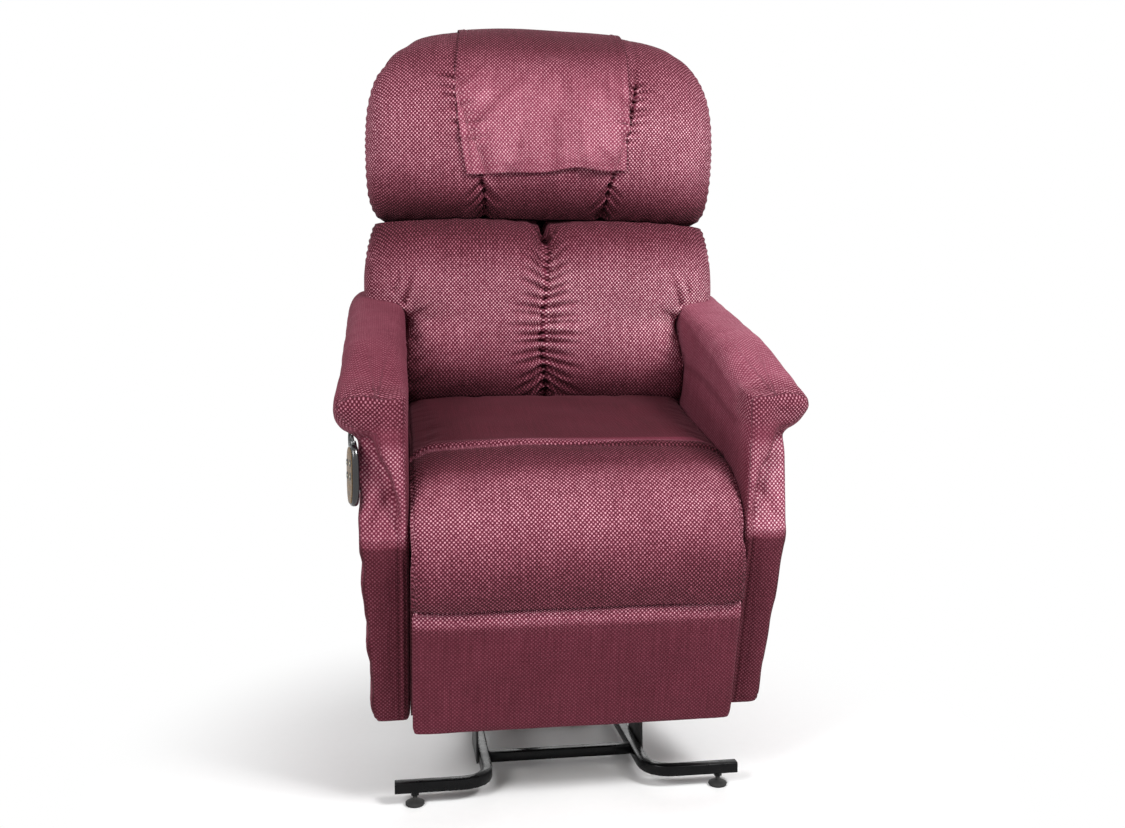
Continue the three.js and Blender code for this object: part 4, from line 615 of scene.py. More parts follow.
def grown(name, points, form, material, body, slot, facing=None, closed=False, **sizes):
    """Runs a node group along a line of points (world metres) and fixes the result to its body."""
    points = np.asarray(points, float)
    count = len(points)
    mesh = bpy.data.meshes.new(name)
    edges = [] if facing is not None else [(i, i + 1) for i in range(count - 1)]
    mesh.from_pydata(points.tolist(), edges + ([(count - 1, 0)] if closed else []), [])
    if facing is not None:
        mesh.attributes.new("facing", "FLOAT_VECTOR", "POINT").data.foreach_set("vector", np.ravel(facing))
    piece = placed(name, mesh)
    modifier = piece.modifiers.new("form", "NODES")
    modifier.node_group = form
    values = dict(sizes, Finish=material)
    for socket in form.interface.items_tree:
        if socket.in_out == "INPUT" and socket.name in values:
            modifier[socket.identifier] = values[socket.name]
    return dressed(settled(piece), body, slot)


def remeshed(piece, voxel, passes):
    """Gives a piece an even mesh, its voxel in mm, and softens its edges."""
    modified(piece, "REMESH", mode="VOXEL", voxel_size=voxel * MM)
    modified(piece, "SMOOTH", factor=0.5, iterations=passes)


def stuffed(piece, cap, pressure=4.0, stiffness=12.0):
    """Remeshes a cover evenly and lets its stuffing swell it, no point by more than cap (mm)."""
    remeshed(piece, CUSHION_VOXEL, 3)
    start = points_of(piece)
    cloth = piece.modifiers.new("stuffing", "CLOTH")
    cloth.settings.use_pressure = True
    cloth.settings.uniform_pressure_force = pressure
    cloth.settings.effector_weights.gravity = 0
    cloth.settings.quality = 3
    cloth.settings.tension_stiffness = stiffness
    cloth.settings.compression_stiffness = stiffness
    cloth.settings.bending_stiffness = 1.5
    cloth.point_cache.frame_start = 1
    cloth.point_cache.frame_end = SIM_FRAMES
    for number in range(1, SIM_FRAMES + 1):
        bpy.context.scene.frame_set(number)
    settled(piece)
    bpy.context.scene.frame_set(1)
    moved = points_of(piece) - start
    length = np.linalg.norm(moved, axis=1, keepdims=True)
    allowed = cap * MM * np.tanh(length / (cap * MM))
    move_points(piece, start + moved * allowed / np.maximum(length, 1e-9))


def finer(piece):
    modified(piece, "SUBSURF", levels=1, render_levels=1, subdivision_type="CATMULL_CLARK")


def painted_crease_shade(depth, strength=0.09):
    """Painted shade and painted highlight: the gain on the cloth's colour down in a crease, and on its
    ridges.
    """
    return np.clip(1 - strength * depth, 0.4, 1.3)


def pressed_in(piece, depth):
    """Moves the surface inwards along its normals by depth, in millimetres."""
    move_points(piece, points_of(piece) - normals_of(piece) * depth[:, None] * MM)


def creases(u, v, lines):
    """Depth of sewn creases on a flat layout: each runs from its start and fades towards its end."""
    total = np.zeros_like(u)
    for (u0, v0), (u1, v1), width, depth in lines:
        du, dv = u1 - u0, v1 - v0
        t = np.clip(((u - u0) * du + (v - v0) * dv) / (du * du + dv * dv), 0, 1)
        away = np.hypot(u - u0 - t * du, v - v0 - t * dv)
        fade = (1 - t) ** 0.85
        total += depth * fade * (groove(away, width) - 0.3 * groove(away, 2.4 * width))
    return total


def lay_cloth(piece, top_layout, side_layout, dots, painted_light, side_from=0.75):
    """Writes the weave's own map in metres and the two values that vary the cloth: how dotted its weave is,
    and a gain that paints light and shade onto its colour.
    """
    mesh = piece.data
    loops = np.zeros(len(mesh.loops), np.int32)
    mesh.loops.foreach_get("vertex_index", loops)
    totals = np.zeros(len(mesh.polygons), np.int32)
    mesh.polygons.foreach_get("loop_total", totals)
    side = np.repeat(np.abs(vectors(mesh.polygons, "normal")[:, 0]) > side_from, totals)
    layout = np.where(side[:, None], side_layout[loops], top_layout[loops]) * MM
    weave = mesh.uv_layers.new(name="weave")
    weave.data.foreach_set("uv", layout.astype(np.float32).ravel())
    for name, values in (("dots", dots), ("painted_light", painted_light)):
        channel = mesh.attributes.new(name, "FLOAT", "POINT")
        values = np.broadcast_to(values, len(mesh.vertices)).astype(np.float32)
        channel.data.foreach_set("value", values.copy())
    shade_smooth(piece)
    return piece


def arc_along(y, z, outline):
    """Distance along an outline of the nearest point on it, for each point (y, z)."""
    outline = np.asarray(outline, float)
    best, along = np.full(len(y), 1e9), np.zeros(len(y))
    start = 0.0
    for (y0, z0), (y1, z1) in zip(outline, outline[1:]):
        dy, dz = y1 - y0, z1 - z0
        length = max(np.hypot(dy, dz), 1e-6)
        t = np.clip(((y - y0) * dy + (z - z0) * dz) / length**2, 0, 1)
        away = np.hypot(y - y0 - t * dy, z - z0 - t * dz)
        nearer = away < best
        best = np.where(nearer, away, best)
        along = np.where(nearer, start + t * length, along)
        start += length
    return along


def dressed(piece, body, slot, *nodes, fill=None):
    """Fixes a finished piece to its body and hides the CAD parts that it replaces."""
    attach(piece, body)
    if nodes:
        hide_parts(*nodes)
    return piece


# ---------------------------------------------------------------- camera, light and floor


def make_camera():
    data = bpy.data.cameras.new("front_view")
    data.lens = LENS
    data.sensor_width = SENSOR
    data.sensor_fit = "HORIZONTAL"
    camera = placed("front_view", data)
    camera.location = CAMERA_PLACE
    camera.rotation_euler = (radians(90 - CAMERA_DOWN), 0, radians(-CAMERA_RIGHT))
    bpy.context.scene.camera = camera


def soft_lamp(name, place, aim, size, power):
    data = bpy.data.lights.new(name, "AREA")
    data.shape = "SQUARE"
    data.size = size
    data.energy = power
    lamp = placed(name, data)
    lamp.location = place
    lamp.rotation_euler = (Vector(aim) - Vector(place)).to_track_quat("-Z", "Y").to_euler()


def seen_directly(tree):
    path = tree.nodes.new("ShaderNodeLightPath")
    both = maths(tree, "MAXIMUM", path.outputs["Is Camera Ray"], path.outputs["Is Glossy Ray"])
    return maths(tree, "MAXIMUM", both, path.outputs["Is Transmission Ray"])


def make_studio():
    bpy.context.scene.view_settings.view_transform = "Standard"
    world = bpy.data.worlds.new("pale_studio")
    bpy.context.scene.world = world
    world.use_nodes = True
    tree = world.node_tree
    sky = tree.nodes["Background"]
    tree.links.new(ranged(tree, seen_directly(tree), 0.0, 1.0, 0.24, 1.0, "LINEAR"), sky.inputs["Strength"])
    sky.inputs["Color"].default_value = (1, 1, 1, 1)
    soft_lamp("key_right", (1.9, -2.3, 3.0), (0, 0, 0.75), 1.0, 128)
    soft_lamp("fill_left", (-2.2, -2.4, 2.3), (0, 0, 0.7), 1.3, 84)
    soft_lamp("top_light", (0.0, 0.2, 3.2), (0, 0, 0.5), 2.2, 10)
    soft_lamp("rear_light", (0.6, 3.0, 2.0), (0, 0, 0.7), 2.0, 40)
    corners = [(6 * x, 6 * y, 0) for x, y in ((-1, -1), (1, -1), (1, 1), (-1, 1))]
    piece_from("studio_floor", corners, [(0, 1, 2, 3)], pale_floor())


def pale_floor():
    """A pale floor that takes the shadow and turns plain white further out."""
    def speckled(tree):
        return blended(tree, noise(tree, 60.0, 3.0, 0.6), paint(250, 250, 250), paint(246, 246, 246))

    material = finish("pale_floor", speckled, 0.7)
    tree = material.node_tree
    white = node(tree, "ShaderNodeEmission", (1, 1, 1, 1), 1.0)
    place = node(tree, "ShaderNodeTexCoord", out=3)
    far = node(tree, "ShaderNodeVectorMath", place, operation="LENGTH", out=1)
    fade = maths(tree, "MULTIPLY", ranged(tree, far, 0.36, 0.86), seen_directly(tree))
    mix = node(tree, "ShaderNodeMixShader", fade, tree.nodes["Principled BSDF"].outputs[0], white)
    tree.links.new(mix, tree.nodes["Material Output"].inputs["Surface"])
    return material


make_camera()

# ---------------------------------------------------------------- the handset's lead

CORD_RADIUS = 2.5
NECK_SHIFT = (11.1, 1.8)           # the slim handset's neck lies closer to the arm
CORD_POINTS = [
    (-359.7, -274.3, 514.8), (-359.7, -272.9, 519.4), (-359.5, -269.2, 522.6), (-359, -263.9, 522.9),
    (-358.4, -259, 520.2), (-358, -255.4, 515.2), (-357.6, -252.4, 508), (-357, -248, 495),
    (-356, -242, 478), (-355, -233, 461), (-354.5, -221, 448), (-354.5, -207, 441), (-355, -193, 441.5),
    (-356, -180.5, 448), (-357, -171.5, 459), (-357.8, -166.5, 473), (-358, -164, 485),
    (-356.6, -163.2, 494.5), (-352.6, -163, 500.6), (-347, -163, 502),
]


def through(points, steps):
    """A centripetal Catmull-Rom line through the points."""
    p = np.asarray(points, float)
    p = np.concatenate([[2 * p[0] - p[1]], p, [2 * p[-1] - p[-2]]])
    made = []
    for a, b, c, d in zip(p, p[1:], p[2:], p[3:]):
        ta, tb = 0.0, np.sqrt(np.linalg.norm(b - a))
        tc = tb + np.sqrt(np.linalg.norm(c - b))
        td = tc + np.sqrt(np.linalg.norm(d - c))
        for t in np.linspace(tb, tc, steps, endpoint=False):
            ab = ((tb - t) * a + (t - ta) * b) / (tb - ta)
            bc = ((tc - t) * b + (t - tb) * c) / (tc - tb)
            cd = ((td - t) * c + (t - tc) * d) / (td - tc)
            abc = ((tc - t) * ab + (t - ta) * bc) / (tc - ta)
            bcd = ((td - t) * bc + (t - tb) * cd) / (td - tb)
            made.append(((tc - t) * abc + (t - tb) * bcd) / (tc - tb))
    return np.array(made + [p[-2]])


def make_cord():
    line = through(CORD_POINTS, 5)
    line[:, :2] += np.outer(smooth(1 - np.arange(len(line)) / 50), NECK_SHIFT)
    line = risen(line)
    data = bpy.data.curves.new("handset_lead", "CURVE")
    data.dimensions = "3D"
    data.bevel_depth = CORD_RADIUS * MM
    data.bevel_resolution = 5
    data.use_fill_caps = True
    run = data.splines.new("POLY")
    run.points.add(len(line) - 1)
    run.points.foreach_set("co", np.concatenate([line, np.ones((len(line), 1))], 1).ravel())
    data.materials.append(BLACK_PLASTIC)
    lead = dressed(placed("handset_lead", data), "carriage", "black_plastic", "handset_cord")


make_cord()
make_studio()

# ---------------------------------------------------------------- seat cushion


def seat_outline():
    """The cushion in side view (y, z): from the rear of its top, over the front roll and back under."""
    rear_top, front_low = (SEAT_REAR - 50, SEAT_TOP - SEAT_PITCH), (SEAT_FRONT - 4, BOLSTER_BOTTOM + 8)
    under, inner = (BOLSTER_LIP, BOLSTER_UNDER), (BOLSTER_REAR - 10, BOLSTER_UNDER)
    return np.concatenate([
        bezier([(SEAT_REAR, SEAT_TOP - 60), (SEAT_REAR, SEAT_TOP - SEAT_PITCH), rear_top], 8),
        bezier([rear_top, (SEAT_SEAM_Y, SEAT_TOP + 1)], 14),
        bezier([(SEAT_SEAM_Y, SEAT_TOP + 1), (-292, SEAT_TOP + 1), (-369, 408), (SEAT_FRONT - 1, 320)], 24),
        bezier([(SEAT_FRONT - 1, 320), front_low], 5),
        bezier([front_low, (SEAT_FRONT - 3, BOLSTER_BOTTOM - 10)], 4),
        bezier([(SEAT_FRONT - 3, BOLSTER_BOTTOM - 10), (BOLSTER_LIP - 4, BOLSTER_BOTTOM - 10), under], 5),
        bezier([under, inner], 4),
        bezier([inner, (BOLSTER_REAR, BOLSTER_UNDER), (BOLSTER_REAR, BOLSTER_UNDER + 10)], 4),
        bezier([(BOLSTER_REAR, BOLSTER_UNDER + 10), (BOLSTER_REAR, SEAT_BOTTOM)], 4),
        bezier([(BOLSTER_REAR, SEAT_BOTTOM), (SEAT_REAR - 12, SEAT_BOTTOM)], 16),
        bezier([(SEAT_REAR - 12, SEAT_BOTTOM), (SEAT_REAR, SEAT_BOTTOM), (SEAT_REAR, SEAT_BOTTOM + 12)], 4),
        [(SEAT_REAR, SEAT_BOTTOM + 12)],
    ])


def make_seat():
    outline = seat_outline()
    middle_y, middle_z = -90.0, (SEAT_BOTTOM + SEAT_TOP) / 2
    rings = []
    for u in spread(33, 1.9):
        swell = dome(u, 5)
        y, z = outline.T
        upper = smooth((z - SEAT_BOTTOM) / 60)
        grow = 1 - 0.045 * (1 - swell)
        crown = 12 * (dome(u, 2.6) - 0.9) * upper * smooth((SEAT_REAR - y) / 60)
        ahead = np.where(y < middle_y, middle_y + (y - middle_y) * grow - 0.7 * crown, y)
        lifted = np.where(z > middle_z, middle_z + (z - middle_z) * grow, z) + crown
        rings.append(np.stack([np.full_like(y, u * SEAT_HALF), ahead, lifted], -1))
    count = len(outline)
    last = (len(rings) - 1) * count
    faces = grid_faces(len(rings), count, wrap=True) + [range(count), range(last, last + count)]
    piece = facing_out(piece_from("seat_cushion_cover", risen(rings), faces, WINE))
    stuffed(piece, SEAT_SWELL)
    level = chair_points(piece)
    level[:, 0] = np.clip(1.013 * level[:, 0], -SEAT_HALF, SEAT_HALF)
    floor = np.where(level[:, 1] > BOLSTER_LIP - 3, BOLSTER_UNDER, BOLSTER_BOTTOM - 0.8)
    floor = np.where(level[:, 1] > BOLSTER_REAR + 3, SEAT_BOTTOM, floor)
    level[:, 2] = np.maximum(level[:, 2], floor)
    level[:, 1] = np.minimum(level[:, 1], SEAT_REAR + 0.5)
    move_points(piece, risen(level))
    finer(piece)
    level, normal = chair_points(piece), normals_of(piece)
    x, y, z = level.T
    edge = SEAT_HALF - np.abs(x)
    top = smooth((normal[:, 2] - 0.35) / 0.3)
    front = smooth((-normal[:, 1] - 0.1) / 0.4)
    along = arc_along(y, z, outline)
    seam = y - SEAT_SEAM_Y - SEAT_SEAM_SKEW * x
    depth = top * (3.4 * groove(seam + 2, 2.4) + 1.6 * groove(seam + 9, 9) - 2.4 * groove(seam - 9, 9))
    depth += top * 0.7 * np.cos(2 * pi * x / 13.5 + np.sin(x / 31)) * groove(seam, 13)
    puckers = np.cos(2 * pi * along / 13 + 0.8 * np.sin(along / 23))
    depth += front * 1.5 * puckers * np.exp(-np.maximum(edge, 0) / 15)
    depth += 2.2 * groove(edge - 3, 4) * np.maximum(top, front)
    depth += 2.4 * ripple(level, 210, 0.7) * np.maximum(top, front)
    pressed_in(piece, depth)
    down = arc_along(y, z, outline) - arc_along(np.array([SEAT_SEAM_Y]), np.array([SEAT_TOP]), outline)
    # Painted light, shade and sheen in bands down the cushion from its seam, and painted shade towards its
    # sides.
    painted_light = np.interp(down - SEAT_SEAM_SKEW * x, *SEAT_PAINTED_LIGHT)
    painted_light -= 0.12 * smooth((30 - edge) / 30)
    dots = 1 - smooth((seam - 14) / 12) * top
    lay_cloth(piece, np.stack([x, along], -1), np.stack([y, z], -1), dots, painted_light)
    return dressed(piece, "carriage", "wine_fabric", "seat_cushion", fill=0.7)


# ---------------------------------------------------------------- back cushions


def lumbar_half(v):
    h = LUMBAR_LOW + v * (LUMBAR_HIGH - LUMBAR_LOW)
    wide = smooth((h - LUMBAR_STEP[0]) / (LUMBAR_STEP[1] - LUMBAR_STEP[0]))
    shoulder = 27 * (np.maximum(h - 150, 0) / (LUMBAR_HIGH - 150)) ** 2
    toe = np.maximum((0.06 - v) / 0.06, 0) ** 2 * 10
    return LUMBAR_HALF_LOW + (LUMBAR_HALF_HIGH - LUMBAR_HALF_LOW - shoulder) * wide - toe


def cushion_line(x):
    """Height up the back of the line where the two back cushions meet."""
    return LUMBAR_HIGH - 10 * (np.abs(x) / 300) ** 3


def crests(points, rows, piece, above, reach, gap=0.5):
    """Height of the piece under each of the chosen points, looked up from above."""
    tree = BVHTree.FromObject(piece, bpy.context.evaluated_depsgraph_get())
    down = Vector(risen([0, 0, -1]) - risen([0, 0, 0])).normalized()
    found = np.full(len(rows), -1e3)
    for place, i in enumerate(rows):
        hit = tree.ray_cast(Vector(risen([points[i, 0], points[i, 1], above])), down, reach * MM)[0]
        if hit:
            found[place] = levelled(np.array(hit))[2] + gap
    return found


def clear_of_arms(points, arms):
    """Keeps a back cushion between the arms, and its wings on top of the arm pads."""
    x, z = points[:, 0], points[:, 2]
    for side, arm in zip((-1, 1), arms):
        rows = np.where((side * x > LUMBAR_HALF_LOW) & (z < ARM_PAD_TOP + 12))[0]
        crest = crests(points, rows, arm, ARM_PAD_TOP + 40, 120)
        deep = z[rows] < crest - 62
        points[rows[deep], 0] = side * LUMBAR_HALF_LOW
        points[rows[~deep], 2] = np.maximum(z[rows[~deep]], crest[~deep])


def clear_of_seat(points, seat):
    """Lets a back cushion rest on the rear of the seat, with the rest of its foot behind it."""
    y, z = points[:, 1], points[:, 2]
    rows = np.where((y < SEAT_REAR + 2) & (z < SEAT_TOP + 20) & (np.abs(points[:, 0]) < SEAT_HALF + 2))[0]
    crest = crests(points, rows, seat, SEAT_TOP + 60, 90)
    deep = z[rows] < crest - 26
    points[rows[deep], 1] = SEAT_REAR + 3
    points[rows[~deep], 2] = np.maximum(z[rows[~deep]], crest[~deep])


def lumbar_front(u, v):
    h = LUMBAR_LOW + v * (LUMBAR_HIGH - LUMBAR_LOW)
    upright = dome(2 * v - 1, 6)
    crown = dome(u, 3.4 + 5 * (1 - smooth(h / 120))) * upright
    seam = (11 * groove(u, 0.05) + 10 * groove(u, 0.2)) * upright
    toe = (16 + 24 * u**2) * (1 - smooth((h - 5) / 130)) * upright
    return LUMBAR_DEPTH * 0.42 + (LUMBAR_DEPTH * 0.58 + 24) * crown + toe - seam


def seam_gathers():
    """Creases each side of the lumbar cushion's centre seam, fanning as it goes up."""
    lines = []
    chance = np.random.default_rng(4)
    for h in np.arange(-32, 270, 16.5):
        for side in (-1, 1):
            start = h + chance.uniform(-4, 4)
            rise = np.interp(start, [-30, 40, 130, 200, 270], [-0.8, -0.2, 0.12, 0.6, 1.1])
            reach = np.interp(start, [-30, 60, 130, 270], [52, 74, 66, 40]) * chance.uniform(0.7, 1.2)
            strength = np.interp(start, [-30, 40, 130, 170, 270], [13, 14, 12, 9, 7])
            strength *= chance.uniform(0.8, 1.1)
            width = chance.uniform(4.2, 5.4)
            foot, tip = (side * 2.5, start), (side * reach, start + rise * reach)
            lines.append((foot, tip, width, strength))
    return lines


def back_cushion(name, front, back, low, high, half, columns, rows):
    u, v = np.meshgrid(spread(columns, 1.7), (spread(rows, 1.6) + 1) / 2)
    level = low + v * (high - low)
    skins = [risen(on_back(np.stack([u * half(v), level, skin(u, v)], -1))) for skin in (front, back)]
    return two_skins(name, *skins, WINE)


def make_lumbar(arms, seat):
    piece = back_cushion("lumbar_cushion_cover", lumbar_front, lambda u, v: 0 * u, LUMBAR_LOW, LUMBAR_HIGH,
                         lumbar_half, 61, 61)
    stuffed(piece, LUMBAR_SWELL)
    local = back_points(piece)
    limit = LUMBAR_HALF_HIGH + 5
    local[:, 0] = np.clip(local[:, 0] * 1.025, -limit, limit)
    local[:, 2] = np.maximum(local[:, 2], 0.2)
    local[:, 1] = np.minimum(local[:, 1], cushion_line(local[:, 0]) - 0.6)
    chair = on_back(local)
    clear_of_arms(chair, arms)
    clear_of_seat(chair, seat)
    move_points(piece, risen(chair))
    finer(piece)
    local, normal = back_points(piece), normals_of(piece)
    x, h, w = local.T
    facing = smooth((-normal[:, 1] - 0.15) / 0.4)
    centre = x + 4 * np.sin(h / 47)
    depth = facing * (4 * groove(centre, 2.6) + 8 * groove(centre, 18))
    gathers = facing * creases(centre, h, seam_gathers())
    notch = smooth((h - 232) / 50)
    depth += 22 * notch * groove(x, 5.5)
    folds = []
    for side in (-1, 1):
        folds.append(((side * 266, 138), (side * 244, 205), 6.0, 9.0))
        folds.append(((side * 284, 160), (side * 270, 205), 5.0, 5.0))
        folds += [((side * 252, low), (side * 205, low + 26), 6.0, 4.0) for low in (-10, 30, 72, 112)]
    gathers += facing * creases(x, h, folds)
    depth += gathers
    rim = np.interp(h, [LUMBAR_LOW, LUMBAR_HIGH], [0, 1])
    edge = lumbar_half(rim) - np.abs(x)
    upper = smooth((h - 205) / 20)
    puckers = np.cos(2 * pi * h / 13 + 0.7 + 2 * np.sin(h / 21))
    depth += 1.1 * upper * puckers * np.exp(-np.maximum(edge, 0) / 22)
    top_edge = smooth((h - (LUMBAR_HIGH - 34)) / 30)
    depth += 2.2 * top_edge * np.cos(2 * pi * x / 46 + 1.1) * facing
    depth += 2.6 * ripple(local, 190, 2.3) * facing
    pressed_in(piece, depth)
    # Painted light and shade: bands up the cushion, painted shade at its lower sides, in the gathers and
    # along the seam, and lighter towards the right as the light falls.
    painted_light = np.interp(h, *LUMBAR_PAINTED_LIGHT)
    painted_light *= (1 - 0.35 * smooth((40 - edge) / 50) * (1 - upper)) * (1 + 0.2 * x / 250)
    painted_light *= painted_crease_shade(gathers + 3 * groove(centre, 2.6))
    side_line = [(100, LUMBAR_LOW), (160, 20), (136, 180), (150, 290), (70, LUMBAR_HIGH), (-40, LUMBAR_HIGH)]
    along = arc_along(w, h, bezier(side_line, 60))
    lay_cloth(piece, np.stack([x, along], -1), np.stack([w, h], -1), 1.0, painted_light)
    dressed(piece, "back", "wine_fabric", "lumbar_cushion", fill=0.75)


def head_half(v):
    h = HEAD_LOW + v * (HEAD_HIGH - HEAD_LOW)
    above = np.clip((h - HEAD_WIDEST) / (HEAD_HIGH + 2 - HEAD_WIDEST), 0, 1)
    below = np.clip((HEAD_WIDEST - h) / (HEAD_WIDEST - HEAD_LOW), 0, 1)
    return HEAD_HALF * dome(above, 3.25) - 12 * below**3 - 18 * below**12


def head_crown(u, v):
    return HEAD_DEPTH * 0.3 + (HEAD_DEPTH * 0.7 + 34) * dome(u, 3.6) * dome(2 * v - 1, 3) - 50 * v**6


def head_rear(u, v):
    return -36 * smooth((v - 0.86) / 0.1)


def head_seam(h):
    """How far the headrest's two seams stand from its middle at a height."""
    return np.interp(h, (HEAD_LOW, HEAD_LOW + 60, HEAD_LOW + 230, HEAD_HIGH), (111, 118, 164, 176))


def head_gathers():
    """Arrow-shaped pleats low on each headrest seam, and short level ones higher up."""
    low = HEAD_LOW + np.array([20, 36, 52, 68]), (20, 34), (1.25, 0.9), -0.95, 4.4, 12.0
    high = np.arange(HEAD_LOW + 150, HEAD_LOW + 262, 15), (18, 40), (1, 1), 0.12, 4.2, 10.0
    lines = []
    chance = np.random.default_rng(9)
    for side, way in product((-1, 1), repeat=2):
        for heights, reaches, shares, slope, width, strength in (low, high):
            for h in heights:
                start = h + chance.uniform(-4, 4)
                x = head_seam(start) * side + 2 * way
                reach = chance.uniform(*reaches) * shares[0 if way * side < 0 else 1]
                lines.append(((x, start), (x + way * reach, start + slope * reach), width, strength))
    return lines


def make_headrest():
    piece = back_cushion("headrest_cushion_cover", head_crown, head_rear, HEAD_LOW, HEAD_HIGH,
                         head_half, 61, 45)
    stuffed(piece, HEAD_SWELL)
    local = back_points(piece)
    local[:, 1] = np.clip(local[:, 1], cushion_line(local[:, 0]) + 0.4, HEAD_HIGH + 3)
    local[:, 2] = np.maximum(local[:, 2], np.where(local[:, 1] > HEAD_HIGH - 32, -42.0, 0.2))
    local[:, 0] = np.clip(local[:, 0], -HEAD_HALF - 4, HEAD_HALF + 4)
    move_points(piece, risen(on_back(local)))
    finer(piece)
    local, normal = back_points(piece), normals_of(piece)
    x, h, w = local.T
    facing = smooth((-normal[:, 1] - 0.1) / 0.4)
    away = np.abs(x) - head_seam(h)
    fade = 1 - 0.75 * smooth((h - HEAD_LOW - 250) / 50)
    depth = facing * fade * (8 * groove(away, 3.2) + 6 * groove(away, 14))
    gathers = facing * creases(x, h, head_gathers())
    depth += gathers
    depth += 10 * groove(away, 8) * smooth((HEAD_LOW + 26 - h) / 26)
    v = np.clip((h - HEAD_LOW) / (HEAD_HIGH - HEAD_LOW), 0, 1)
    edge = np.maximum(head_half(v) - np.abs(x), 0)
    depth += np.cos(2 * pi * h / 14 + 2 * np.sin(h / 23)) * np.exp(-edge / 20) * smooth((600 - h) / 40)
    for across, up, strength, width in ((np.abs(x) - 262, h - 622, 3.5, 15), (x + 305, h - 578, 3.0, 14)):
        depth += strength * groove(np.hypot(across, up), width)
    depth += 2.0 * groove(edge - 2, 4) * facing
    low_edge = smooth((HEAD_LOW + 30 - h) / 30)
    depth += 1.8 * low_edge * np.cos(2 * pi * x / 41 + 0.4) * facing
    depth += 3.0 * ripple(local, 200, 5.1) * facing
    pressed_in(piece, depth)
    # Painted light and shade: bands up the cushion, lighter towards the right as the light falls, painted
    # shade at its edges, in the gathers and along the seams.
    painted_light = np.interp(h, *HEAD_PAINTED_LIGHT)
    painted_light *= 1 + 0.18 * smooth((x - 60) / 160) - 0.15 * smooth((40 - edge) / 50)
    painted_light *= painted_crease_shade(gathers) * (1 - 0.3 * fade * groove(away, 3))
    side_line = [(20, HEAD_LOW), (150, HEAD_LOW - 10), (140, 400), (160, 560), (60, 690), (-60, 640)]
    along = arc_along(w, h, bezier(side_line, 80))
    lay_cloth(piece, np.stack([x, along], -1), np.stack([w, h], -1), 1.0, painted_light)
    return dressed(piece, "back", "wine_fabric", "headrest_cushion", fill=0.7)


# ---------------------------------------------------------------- cloth over the headrest


# Soft folds of the cloth, each from (across, up from the hem) to the same, with its width and depth
COVER_FANS = [
    ((10, 200), (-110, 50), 18, -9), ((34, 195), (118, 60), 18, -9), ((-60, 20), (-16, 180), 18, -9),
    ((88, 10), (50, 160), 16, -9), ((-150, 60), (-84, 170), 13, -7), ((154, 90), (104, 190), 13, -7),
]
# Painted shading of folds on the cloth: each line from (across, up from the hem) to the same, with its width
# and how much painted shade (positive) or painted highlight (negative) it gives.
COVER_PAINTED_FOLD_SHADING = [
    ((-124, 86), (-10, 200), 8, 13), ((-150, 150), (-97, 205), 6, 9), ((-115, 128), (-80, 156), 8, -8),
    ((-44, 50), (-26, 116), 9, 8), ((26, 10), (22, 130), 15, 11), ((128, 26), (92, 58), 7, 11),
    ((102, 108), (78, 122), 7, 6), ((151, 128), (80, 184), 10, 11), ((-80, 10), (-30, 150), 26, -7),
    ((112, 70), (60, 160), 26, -6),
]


